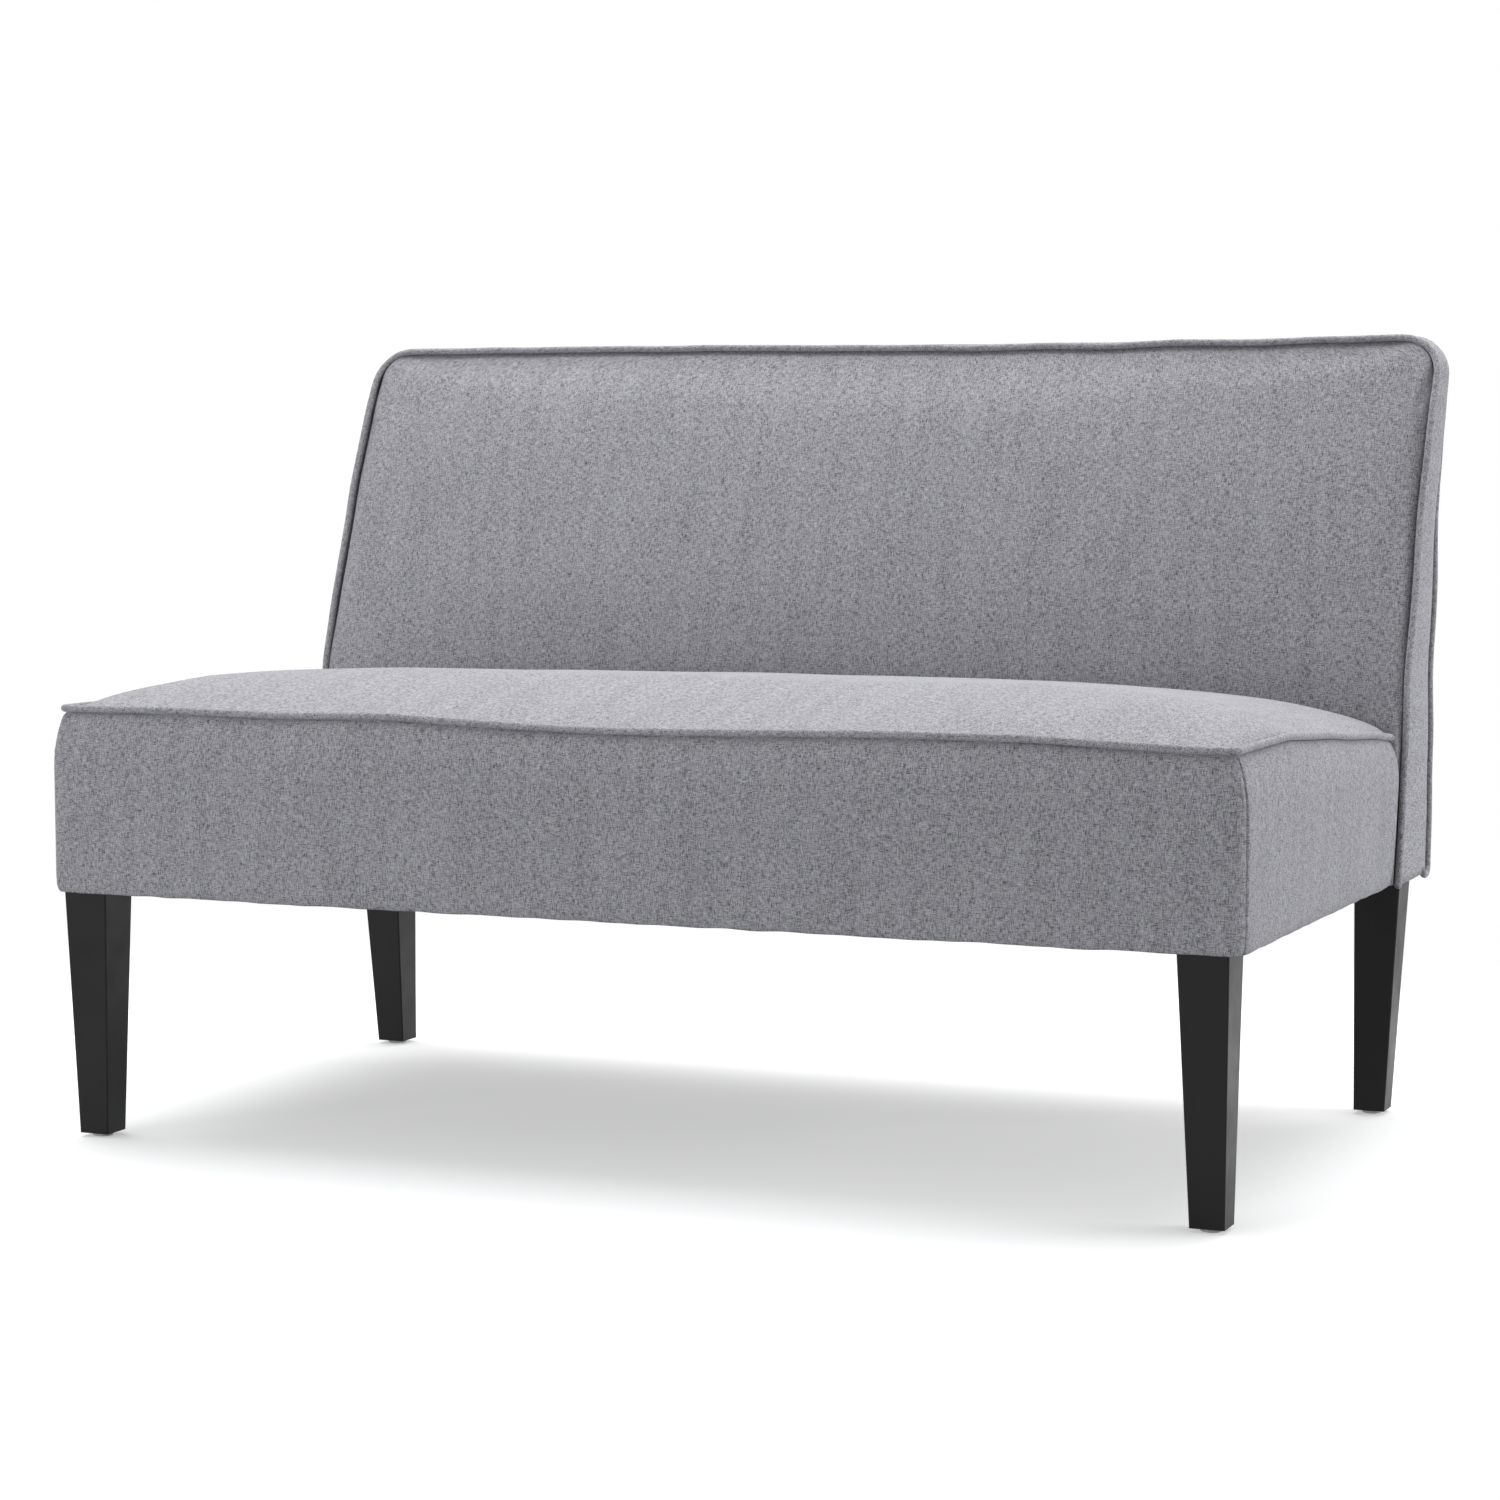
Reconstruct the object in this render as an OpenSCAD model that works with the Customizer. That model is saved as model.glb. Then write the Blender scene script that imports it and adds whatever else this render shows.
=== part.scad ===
/* [Overall] */
// Width of the seat box over its lower edge
seat_w = 1194; // [1000:2:1500]
// Seat depth, from the front lower edge to the face of the back
seat_d = 546; // [480:2:620]
// Height of the upholstery's underside above the floor
underside_h = 245; // [200:1:300]
// Height of the seat welt along the front
seat_front_h = 421; // [400:1:450]
// Fall of the seat welt from the front to the back
seat_drop = 30; // [10:1:34]
// Rise of the crowned seat above its welt
seat_crown = 42; // [25:1:55]
// Extra rise of the crown at the back
seat_crown_gain = 6; // [0:1:10]
// Height of the whole settee, to the top of the back's welt
back_h = 792; // [740:2:860]
// How far the back stands out past the seat box at each side
back_overhang = 12; // [8:1:20]

/* [Back] */
// Thickness of the back at the seat line
back_t = 123; // [110:1:140]
// Lean of the joint between the seat and the back, in degrees
low_lean = 8.5; // [5:0.5:10]
// Rake of the inside back just above the seat, in degrees
rake_start = 15.5; // [12:0.5:18]
// Rake of the inside back at the top, in degrees
rake_top = 26; // [22:0.5:28]
// Rake of the outside back just above the seat, in degrees
rear_start = 6; // [4:0.5:9]
// Rake of the outside back at the top, in degrees
rear_top = 14; // [12:0.5:18]
// Height above the seat over which these rakes close the back up
rake_h = 347.4; // [300:0.1:420]
// Radius of the back's two top corners
back_corner_r = 38; // [30:1:60]
// Swell of the inside back in front of its seams
back_crown = 16; // [6:1:20]
// Thickness of the back's foam at the seat line
back_foam_t = 20; // [14:1:24]
// Thickness of the back's foam at the top
back_foam_top_t = 12; // [8:1:14]
// Swell of the back's boxing band between its welts
band_swell = 2; // [0.5:0.5:3]

/* [Upholstery] */
// Thickness of the woven cover
cloth_t = 1.5; // [1:0.1:2]
// Diameter of the self-covered welt
welt_d = 7; // [5:0.5:9]
// How far the seat welt is drawn in from the box's lower edge
draw_in = 8; // [5:0.5:11]
// Swell of the seat boxing beyond its lower edge
box_swell = 3.5; // [1:0.5:5]
// Thickness of the wadding over the seat rails
wadding_t = 8; // [6:0.5:10]
// Thickness of the black dust cover
dust_t = 1; // [0.6:0.1:1.5]

/* [Frame] */
// Thickness of the frame's boards
board_t = 20; // [18:0.5:22]
// Height of the seat rails
rail_h = 96; // [80:1:100]
// Height of the centre brace under the springs
brace_h = 60; // [40:1:70]
// Side of a seat corner block along the rails
block_side = 90; // [75:1:110]
// Height of the blocks that hold the legs
block_h = 42; // [35:1:55]
// Height of the back's cross rails
back_rail_h = 60; // [50:1:70]
// Thickness of the board behind the outside back
lining_board_t = 3; // [2.5:0.5:5]

/* [Suspension] */
// Number of sinuous springs
spring_count = 8; // [6:1:10]
// Width of a sinuous spring
spring_w = 52; // [46:1:60]
// Spacing of the bars of a spring
spring_pitch = 27; // [22:0.5:30]
// Diameter of the spring wire
wire_d = 3.6; // [3:0.1:4.2]
// Rise of a spring at the middle of the seat
spring_arc = 12; // [6:1:16]
// Thickness of the insulator sheet on the springs
insulator_t = 3; // [2:0.5:5]
// Number of webbing strips in the back
web_count = 7; // [5:1:9]
// Width of a webbing strip
web_w = 50; // [40:1:60]
// Thickness of the webbing
web_t = 1.5; // [1:0.1:2]

/* [Legs] */
// Side of a leg's square section at its top
leg_top = 47; // [42:1:54]
// Side of a leg's square section at its foot
leg_foot = 32; // [28:1:38]
// Radius of a leg's eased edges
leg_ease = 1.6; // [1:0.2:3]
// Inset of a leg's outer face from the side of the upholstery above it
leg_inset = 11; // [8:1:16]
// How far a front foot stands outside the middle of its leg's top
front_foot_out = 2.5; // [0:0.5:6]
// How far a rear foot stands inside the middle of its leg's top
rear_foot_in = 8; // [0:0.5:10]
// How far every foot stands behind the middle of its leg's top
foot_back = 4.5; // [0:0.5:7]
// Inset of the front legs from the front lower edge
leg_front_inset = 2; // [1:1:12]
// Distance from the back's rear face to the rear legs
leg_rear_inset = 25; // [15:1:32]
// Height of the glide under a leg
glide_h = 4; // [3:0.5:6]
// Radius of the glide
glide_r = 10; // [8:0.5:12]
// Radius of the hanger bolts and joint bolts
bolt_r = 4; // [3:0.5:5]
// Side of a steel leg plate
plate_side = 42; // [34:1:44]
// Thickness of a steel leg plate
plate_t = 3; // [2:0.5:4]

/* [Hidden] */
$fn = 48;

// Clearances and overruns
gap = 0.3;
close_gap = 0.1;
foam_gap = 0.6;
side_gap = 0.9;
cut = 1;

// Heights from the underside up. Where the seat is set so low that its boards would leave the springs no
// room, the boards of the seat and of the back's foot are cut down together
flange_z = underside_h + dust_t;
frame_z = flange_z + cloth_t + gap;
seat_rear_h = seat_front_h - seat_drop;
spring_room = 43;
board_share = min(1, (seat_rear_h - welt_d / 2 - spring_room - frame_z) / rail_h);
rail_top_z = frame_z + board_share * rail_h;
sill_h = board_share * back_rail_h;
leg_block_h = board_share * block_h;
seat_line_z = seat_rear_h + seat_crown + seat_crown_gain + cloth_t + 2 * gap;

// Plan of the seat box
seat_x = seat_w / 2;
welt_r = welt_d / 2;
corner_ease = 3;
corner_r = max(draw_in + welt_r, wadding_t) + corner_ease;
flange_w = corner_r - corner_ease / 2;
rail_x = seat_x - wadding_t - gap;
rail_inner_x = rail_x - board_t;
rail_y = wadding_t + gap;
rail_inner_y = rail_y + board_t;
rail_chamfer = corner_r - rail_y;
drop_start_share = 0.29;
drop_power = 1.25;

// Outline of the back, along the middle of its welts
back_x = seat_x + back_overhang;
back_top_z = back_h - welt_r;
back_pad = 2;
post_x = back_x - cloth_t - back_pad;
post_inner_x = post_x - board_t;
top_rail_z = back_top_z - cloth_t - back_pad - back_rail_h;
middle_rail_top_z = seat_line_z - welt_d;
middle_rail_z = middle_rail_top_z - back_rail_h;
foam_low_z = middle_rail_z - web_w / 2;

// Side profile of the back: the seam line of the inside back and the rear of the rear welt. Its thickness
// closes up by a fixed amount from the seat to the top, whatever the height
function up_share(z) = (z - seat_line_z) / (back_top_z - seat_line_z);
function mean_slope(start, end, v) = start + (end - start) * v / 2;
function back_face_y(z) = z < seat_line_z
    ? seat_d - tan(low_lean) * (seat_line_z - z)
    : seat_d + (z - seat_line_z) * mean_slope(tan(rake_start), tan(rake_top), up_share(z));
function closed_up(v) = rake_h * v
    * mean_slope(tan(rake_start) - tan(rear_start), tan(rake_top) - tan(rear_top), v);
function back_rear_y(z) = z < seat_line_z ? seat_d + back_t : back_face_y(z) + back_t - closed_up(up_share(z));
function seat_end_y(z) = back_face_y(z) - gap;

// The origin is under the middle of the whole settee, halfway between its front and its rear welt
centre_y = (back_rear_y(back_top_z) - box_swell) / 2;
module centred() {
    translate([0, -centre_y, 0])
        children();
}

// Layers of the back, from the inside cover to the frame's face, and from the outside cover to its rear
panel_dip = 2;
function foam_depth(z) = z < foam_low_z ? 0
    : z < seat_line_z ? back_foam_t * (z - foam_low_z) / (seat_line_z - foam_low_z)
    : back_foam_t + (back_foam_top_t - back_foam_t) * (z - seat_line_z) / (back_top_z - seat_line_z);
function foam_rear_y(z) = back_face_y(z) + cloth_t + 2 * gap + foam_depth(z);
function webbing_y(z) = foam_rear_y(z) + gap;
function frame_face_y(z) = webbing_y(z) + web_t + gap;
function outer_panel_y(z) = back_rear_y(z) - panel_dip;
function board_rear_y(z) = outer_panel_y(z) - cloth_t - gap;
function frame_rear_y(z) = board_rear_y(z) - lining_board_t - gap;

// Levels at which every long curve of the back has a point
function spaced(from, to, steps) = [for (i = [0:steps]) from + (to - from) * i / steps];
back_level_steps = 8;
back_levels = concat([foam_low_z], spaced(seat_line_z, back_top_z - back_corner_r, back_level_steps));
function levels(from, to) = concat([from], [for (z = back_levels) if (z > from + gap && z < to - gap) z], [to]);

// Seat welt height along the depth, level at the front and falling towards the back
function drop_share(y) = max(0, y / seat_d - drop_start_share) / (1 - drop_start_share);
function welt_z(y) = seat_front_h - seat_drop * pow(drop_share(y), drop_power);
function welt_slope(y) = -seat_drop * drop_power * pow(drop_share(y), drop_power - 1)
    / (seat_d * (1 - drop_start_share));

// Closed skin over a row of rings. Seen along the row each ring runs anticlockwise, with an even number of
// points. Facing quads of its two halves are split the same way, so thin cloth stays even, and each end is
// closed by a ladder of triangles between the halves
module skin(rings) {
    m = len(rings[0]);
    last = (len(rings) - 1) * m;
    half = m / 2;
    walls = [for (k = [0:len(rings) - 2], i = [0:m - 1]) let (a = k * m + i, b = k * m + (i + 1) % m)
        each i < half ? [[a, b, b + m], [a, b + m, a + m]] : [[a, b, a + m], [b, b + m, a + m]]];
    ends = [for (i = [0:half - 2]) each [
        [i, m - 2 - i, i + 1], [i, m - 1 - i, m - 2 - i],
        [last + i, last + i + 1, last + m - 2 - i], [last + i, last + m - 2 - i, last + m - 1 - i]]];
    polyhedron(points = [for (r = rings) each r], faces = concat(walls, ends), convexity = 6);
}

function reversed(list) = [for (i = [len(list) - 1:-1:0]) list[i]];

// Board that runs along X, with its outline drawn in depth and height
module beam(x_from, x_to, outline) {
    translate([x_from, 0, 0])
        rotate([90, 0, 90])
            linear_extrude(x_to - x_from)
                polygon(outline);
}

// Outline between two curves of the back's side profile, given as lists of depths at the same levels
function between(front_ys, rear_ys, zs) = concat(
    [for (i = [0:len(zs) - 1]) [front_ys[i], zs[i]]],
    [for (i = [len(zs) - 1:-1:0]) [rear_ys[i], zs[i]]]);

module on_both_sides() {
    children();
    mirror([1, 0, 0])
        children();
}

// Places of the legs' hanger bolts, in the middle of each leg's top
front_leg_x = seat_x - leg_inset - leg_top / 2;
front_leg_y = leg_front_inset + leg_top / 2;
rear_leg_x = back_x - leg_inset - leg_top / 2;
rear_leg_y = seat_d + back_t - leg_rear_inset - leg_top / 2;
bolt_depth = 40;
bolt_reach = 28;

module at_legs() {
    on_both_sides() {
        translate([front_leg_x, front_leg_y, 0])
            children();
        translate([rear_leg_x, rear_leg_y, 0])
            children();
    }
}

// Tapered square leg with eased edges; foot_x and foot_y say where its foot stands from its top's middle
pin_r = 1.5;
pin_l = 14;
module square_corners(side, z) {
    reach = side / 2 - leg_ease;
    for (x = [-reach, reach], y = [-reach, reach])
        translate([x, y, z])
            cylinder(r = leg_ease, h = close_gap, $fn = 32);
}
module leg(x, y, foot_x, foot_y) {
    color("#17181a") centred() translate([x, y, 0]) difference() {
        hull() {
            square_corners(leg_top, underside_h - close_gap);
            translate([foot_x, foot_y, 0])
                square_corners(leg_foot, glide_h);
        }
        translate([0, 0, underside_h - bolt_depth])
            cylinder(r = bolt_r + close_gap, h = bolt_depth + cut);
        translate([foot_x, foot_y, glide_h - cut])
            cylinder(r = pin_r + close_gap, h = pin_l + cut);
    }
}
module front_left_leg() {
    leg(-front_leg_x, front_leg_y, -front_foot_out, foot_back);
}
module front_right_leg() {
    leg(front_leg_x, front_leg_y, front_foot_out, foot_back);
}
module rear_left_leg() {
    leg(-rear_leg_x, rear_leg_y, rear_foot_in, foot_back);
}
module rear_right_leg() {
    leg(rear_leg_x, rear_leg_y, -rear_foot_in, foot_back);
}

// Nail-on glide with a rounded lower rim and its pin
glide_ease = 1;
module glide(x, y) {
    color("#c9c9c4") centred() translate([x, y + foot_back, 0]) {
        rotate_extrude()
            polygon(concat([[0, 0]],
                [for (a = [0:22.5:90]) [glide_r - glide_ease * (1 - sin(a)), glide_ease * (1 - cos(a))]],
                [[glide_r, glide_h], [pin_r, glide_h], [pin_r, glide_h + pin_l - cut],
                [0, glide_h + pin_l - cut]]));
    }
}
module front_left_glide() {
    glide(-front_leg_x - front_foot_out, front_leg_y);
}
module front_right_glide() {
    glide(front_leg_x + front_foot_out, front_leg_y);
}
module rear_left_glide() {
    glide(-rear_leg_x + rear_foot_in, rear_leg_y);
}
module rear_right_glide() {
    glide(rear_leg_x - rear_foot_in, rear_leg_y);
}

// Leg fixings: a bolt in each leg, screwed through a steel plate let into the frame's underside
module hanger_bolts() {
    color("#b4b6b8") centred() at_legs()
        translate([0, 0, underside_h - bolt_depth + cut])
            cylinder(r = bolt_r, h = bolt_depth - cut + bolt_reach);
}
module leg_plates() {
    color("#a8aaac") centred() at_legs()
        translate([0, 0, frame_z])
            linear_extrude(plate_t) difference() {
                square(plate_side, center = true);
                circle(bolt_r + close_gap);
            }
}
module leg_fixing_cuts() {
    at_legs() {
        seat_side = plate_side + 2 * gap;
        translate([-seat_side / 2, -seat_side / 2, frame_z - cut])
            cube([seat_side, seat_side, plate_t + cut]);
        translate([0, 0, underside_h - cut])
            cylinder(r = bolt_r + cut, h = bolt_reach + 3 * cut);
    }
}

// Bolts that draw the back's sill against the seat's rear rail
joint_x_shares = [-0.7, -0.26, 0.26, 0.7];
joint_z = frame_z + sill_h / 2;
sill_rear_y = frame_face_y(frame_z + sill_h) + board_t;
rear_rail_y = seat_end_y(frame_z) - cloth_t - gap - board_t;
washer_r = 2.4 * bolt_r;
washer_t = 0.4 * bolt_r;
head_r = 1.7 * bolt_r;
head_h = 1.3 * bolt_r;
nut_h = 1.6 * bolt_r;
module along_joint(y) {
    for (k = joint_x_shares)
        translate([k * rail_inner_x, y, joint_z])
            rotate([-90, 0, 0])
                children();
}
module joint_bolts() {
    start_y = rear_rail_y - washer_t;
    color("#b4b6b8") centred() {
        along_joint(start_y)
            cylinder(r = bolt_r, h = sill_rear_y + washer_t + nut_h + bolt_r - start_y);
        along_joint(start_y - head_h)
            cylinder(r = head_r, h = head_h, $fn = 6);
    }
}
module washer() {
    linear_extrude(washer_t) difference() {
        circle(washer_r);
        circle(bolt_r + close_gap);
    }
}
module joint_washers() {
    color("#a8aaac") centred() {
        along_joint(rear_rail_y - washer_t)
            washer();
        along_joint(sill_rear_y)
            washer();
    }
}
module joint_nuts() {
    color("#a8aaac") centred() along_joint(sill_rear_y + washer_t)
        difference() {
            cylinder(r = head_r, h = nut_h, $fn = 6);
            translate([0, 0, -cut])
                cylinder(r = bolt_r + close_gap, h = nut_h + 2 * cut);
        }
}
module joint_cuts() {
    along_joint(rear_rail_y - cut)
        cylinder(r = bolt_r + gap, h = sill_rear_y - rear_rail_y + 2 * cut);
}

// Seat frame: four rails, a centre brace and a glued block in each corner
module seat_front_rail() {
    color("#c7a878") centred() difference() {
        translate([0, 0, frame_z])
            linear_extrude(rail_top_z - frame_z)
                polygon([[-rail_x, rail_inner_y], [-rail_x, corner_r], [-rail_x + rail_chamfer, rail_y],
                    [rail_x - rail_chamfer, rail_y], [rail_x, corner_r], [rail_x, rail_inner_y]]);
        leg_fixing_cuts();
    }
}
module seat_rear_rail() {
    lining_y = cloth_t + gap;
    color("#c7a878") centred() difference() {
        beam(-rail_x, rail_x, [[rear_rail_y, frame_z], [seat_end_y(frame_z) - lining_y, frame_z],
            [seat_end_y(rail_top_z) - lining_y, rail_top_z], [rear_rail_y, rail_top_z]]);
        joint_cuts();
    }
}
module side_rail() {
    color("#c7a878") centred() difference() {
        translate([rail_inner_x, rail_inner_y, frame_z])
            cube([board_t, rear_rail_y - rail_inner_y, rail_top_z - frame_z]);
        leg_fixing_cuts();
    }
}
module seat_left_rail() {
    mirror([1, 0, 0])
        side_rail();
}
module seat_right_rail() {
    side_rail();
}
module seat_centre_brace() {
    color("#c7a878") centred() translate([-board_t / 2, rail_inner_y, frame_z])
        cube([board_t, rear_rail_y - rail_inner_y, board_share * brace_h]);
}
module seat_corner_blocks() {
    color("#b9986a") centred() on_both_sides() difference() {
        translate([0, 0, frame_z])
            linear_extrude(leg_block_h) {
                polygon([[rail_inner_x, rail_inner_y], [rail_inner_x, rail_inner_y + block_side],
                    [rail_inner_x - block_side, rail_inner_y]]);
                polygon([[rail_inner_x, rear_rail_y], [rail_inner_x - block_side, rear_rail_y],
                    [rail_inner_x, rear_rail_y - block_side]]);
            }
        leg_fixing_cuts();
    }
}

// Sinuous springs: bars along X joined by half rings, arched from the front rail to the rear rail. The
// wire is drawn a little thinner in the bends
bend_wire_share = 0.97;
clip_t = 1.2;
clip_w = 14;
clip_l = 9;
wire_r = wire_d / 2;
spring_z = rail_top_z + clip_t + close_gap + wire_r;
spring_front_y = rail_inner_y - board_t / 2;
spring_rear_y = rear_rail_y + board_t / 2;
spring_mid_y = (spring_front_y + spring_rear_y) / 2;
spring_half = (spring_rear_y - spring_front_y) / 2;
spring_margin = 25;
spring_span = rail_inner_x - spring_w / 2 - spring_margin;
spring_bends = floor(2 * spring_half / spring_pitch);
bar_ys = spaced(spring_front_y, spring_rear_y, spring_bends);
function arc_z(y) = spring_arc * (1 - pow((y - spring_mid_y) / spring_half, 2));
module at_springs() {
    for (x = spaced(-spring_span, spring_span, spring_count - 1))
        translate([x, 0, spring_z])
            children();
}
module sinuous_spring() {
    bar_l = spring_w - (bar_ys[1] - bar_ys[0]) - wire_d;
    for (y = bar_ys)
        translate([-bar_l / 2, y, arc_z(y)])
            rotate([0, 90, 0])
                cylinder(r = wire_r, h = bar_l);
    for (i = [0:spring_bends - 1]) {
        step = [bar_ys[i + 1] - bar_ys[i], arc_z(bar_ys[i + 1]) - arc_z(bar_ys[i])];
        side = i % 2 == 0 ? 1 : -1;
        translate([side * bar_l / 2, bar_ys[i] + step[0] / 2, arc_z(bar_ys[i]) + step[1] / 2])
            rotate([atan2(step[1], step[0]), 0, 0])
                rotate([0, 0, -side * 90])
                    rotate_extrude(angle = 180)
                        translate([norm(step) / 2, 0, 0])
                            circle(bend_wire_share * wire_r);
    }
}
module seat_springs() {
    color("#6d7075") centred() at_springs()
        sinuous_spring();
}

// Clips that hook the end bars of the springs to the rails, closed towards the middle of the seat
module spring_clip() {
    inner_r = wire_r + close_gap;
    outer_r = inner_r + clip_t;
    translate([-clip_w / 2, 0, 0])
        rotate([90, 0, 90])
            linear_extrude(clip_w) {
                translate([-clip_l, -outer_r])
                    square([clip_l, clip_t]);
                translate([-clip_l / 2, inner_r])
                    square([clip_l / 2, clip_t]);
                difference() {
                    circle(outer_r);
                    circle(inner_r);
                    translate([-outer_r, -outer_r])
                        square([outer_r, 2 * outer_r]);
                }
            }
}
module spring_clips() {
    color("#8d9094") centred() at_springs() {
        translate([0, spring_front_y, 0])
            spring_clip();
        translate([0, spring_rear_y, 0])
            mirror([0, 1, 0])
                spring_clip();
    }
}

// Insulator sheet over the springs, and the level of the foam on it
insulator_z = spring_z + wire_r + gap;
foam_z = insulator_z + insulator_t + foam_gap;
module spring_insulator() {
    ys = [for (i = [1:spring_bends]) (bar_ys[i - 1] + bar_ys[i]) / 2];
    color("#4d4d4f") centred() beam(-rail_x + board_t / 2, rail_x - board_t / 2, concat(
        [for (y = ys) [y, insulator_z + arc_z(y)]],
        [for (y = reversed(ys)) [y, insulator_z + insulator_t + arc_z(y)]]));
}

// Stations round the seat box, from the left rear corner by the front to the right rear corner. Each has
// its place on the lower edge, its outward direction and its share of the side behind the corner
side_steps = 7;
front_steps = 10;
arc_steps = 4;
function corner_station(side, a) = [side * (seat_x - corner_r) + corner_r * cos(a),
    corner_r + corner_r * sin(a), cos(a), sin(a), 0];
left_side = [for (i = [0:side_steps - 1]) [-seat_x, corner_r, -1, 0, 1 - i / side_steps]];
left_arc = [for (i = [0:arc_steps - 1]) corner_station(-1, 180 + 90 * i / arc_steps)];
front_run = [for (x = spaced(corner_r - seat_x, seat_x - corner_r, front_steps)) [x, 0, 0, -1, 0]];
right_arc = [for (i = [1:arc_steps - 1]) corner_station(1, 270 + 90 * i / arc_steps)];
right_side = [for (i = [0:side_steps]) [seat_x, corner_r, 1, 0, i / side_steps]];
seat_path = concat(left_side, left_arc, front_run, right_arc, right_side);
left_seam = side_steps + arc_steps / 2;
right_seam = len(seat_path) - 1 - left_seam;
function station_y(s) = s[1] + s[4] * (seat_d - corner_r);
function seat_point(s, out, z, back_off) = [s[0] + s[2] * out,
    s[1] + s[3] * out + s[4] * (seat_end_y(z) - back_off - corner_r), z];

// Boxing of the seat: it swells out above the lower edge and is drawn in under the welt
swell_share = 0.7;
box_shares = [0, 0.3, 0.5, 0.7, 0.82, 0.91, 1];
function box_out(share) = share < swell_share
    ? box_swell * sin(90 * share / swell_share)
    : box_swell - (box_swell + draw_in - cloth_t / 2) * pow((share - swell_share) / (1 - swell_share), 2);
function box_top_z(s) = welt_z(station_y(s)) - welt_r - gap;
function boxing_ring(s) = let (rise = box_top_z(s) - flange_z) concat(
    [seat_point(s, -flange_w, flange_z, 0)],
    [for (h = box_shares) seat_point(s, box_out(h), flange_z + h * rise, 0)],
    [for (h = reversed(box_shares)) seat_point(s, box_out(h) - cloth_t,
        max(flange_z + h * rise, flange_z + cloth_t), 0)],
    [seat_point(s, -flange_w, flange_z + cloth_t, 0)]);
module boxing_panel(from, to) {
    color("#808086") centred() skin([for (k = [from:to]) boxing_ring(seat_path[k])]);
}
module seat_left_boxing() {
    boxing_panel(0, left_seam);
}
module seat_front_boxing() {
    boxing_panel(left_seam, right_seam);
}
module seat_right_boxing() {
    boxing_panel(right_seam, len(seat_path) - 1);
}

// Wadding between the rails and the boxing, clear of the leg plates
wadding_steps = 3;
wadding_zs = spaced(frame_z + plate_t + gap, rail_top_z, wadding_steps);
function inside_boxing(s, z) = box_out((z - flange_z) / (box_top_z(s) - flange_z)) - cloth_t - side_gap;
function wadding_ring(s) = concat(
    [for (z = wadding_zs) seat_point(s, inside_boxing(s, z), z, cloth_t + gap)],
    [for (z = reversed(wadding_zs)) seat_point(s, -wadding_t, z, cloth_t + gap)]);
module seat_wadding() {
    color("#efece2") centred() skin([for (s = seat_path) wadding_ring(s)]);
}

// Welt: a round tube, its rings set across the path
tube_sides = 8;
function unit(v) = v / norm(v);
function tube_ring(centre, along, out, r) = let (other = unit(cross(out, along)))
    [for (i = [0:tube_sides - 1]) let (a = 360 * i / tube_sides) centre + r * (cos(a) * out + sin(a) * other)];
module seat_welt() {
    color("#74747a") centred() skin([for (s = seat_path) let (y = station_y(s)) tube_ring(
        seat_point(s, -draw_in, welt_z(y), welt_r / 2),
        unit([-s[3], s[2], s[2] * welt_slope(y)]), [s[2], s[3], 0], welt_r)]);
}

// Crown of the seat, in rows across the width from the front edge to the back. A row is a station on the
// right, and a column a share of the row's half width. It falls gently to the front and roundly to the
// sides, and its corners stay full
edge_out = draw_in + welt_r + gap;
front_power = 2.4;
side_power = 3.5;
side_fullness = 0.47;
corner_fullness = 4;
column_shares = [-1, -0.985, -0.955, -0.9, -0.8, -0.65, -0.45, -0.22, 0,
    0.22, 0.45, 0.65, 0.8, 0.9, 0.955, 0.985, 1];
row_shares = [0.012, 0.04, 0.085, 0.15, 0.24, 0.36, 0.5, 0.64, 0.78, 0.9, 1];
seat_rows = concat([for (a = [270, 315, 360]) corner_station(1, a)],
    [for (k = row_shares) [seat_x, corner_r, 1, 0, k]]);
function edge_y(row) = station_y(row) - row[3] * edge_out;
function front_fall(y) = pow(1 - min(1, (y - edge_out) / (seat_d / 2)), front_power);
function side_fall(share) = 1 - pow(1 - pow(abs(share), side_power), side_fullness);
function corner_fall(a, b) = pow(pow(a, corner_fullness) + pow(b, corner_fullness), 1 / corner_fullness);
function crown_z(row, share) = let (y = edge_y(row)) welt_z(y)
    + (seat_crown + seat_crown_gain * y / seat_d) * max(0, 1 - corner_fall(side_fall(share), front_fall(y)));
function cell(row, share, out, z, back_off) = let (p = seat_point(row, out, z, back_off)) [share * p[0], p[1], z];
function crown_row(row, lift, back_off) = [for (k = column_shares)
    cell(row, k, -edge_out, crown_z(row, k) + lift, back_off)];
module seat_top_cover() {
    color("#909096") centred() skin([for (row = seat_rows)
        concat(crown_row(row, -cloth_t / 2, 0), reversed(crown_row(row, cloth_t / 2, 0)))]);
}

// Foam under the crowned cover: its sides follow the boxing and its underside the arched springs
foam_side_shares = [0.33, 0.66, 0.94];
function foam_side(row, side, share) = let (low = foam_z, high = box_top_z(row), z = low + share * (high - low))
    cell(row, side, inside_boxing(row, z), z, cloth_t + gap);
function foam_ring(row) = let (low_y = seat_point(row, 0, foam_z, cloth_t + gap)[1],
        low_z = foam_z + max(0, arc_z(low_y))) concat(
    [for (k = column_shares) cell(row, k, inside_boxing(row, foam_z), low_z, cloth_t + gap)],
    [for (h = foam_side_shares) foam_side(row, 1, h)],
    reversed(crown_row(row, -cloth_t / 2 - gap, cloth_t + gap)),
    [for (h = reversed(foam_side_shares)) foam_side(row, -1, h)]);
module seat_foam() {
    color("#e8dfc0") centred() skin([for (row = seat_rows) foam_ring(row)]);
}

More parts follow.
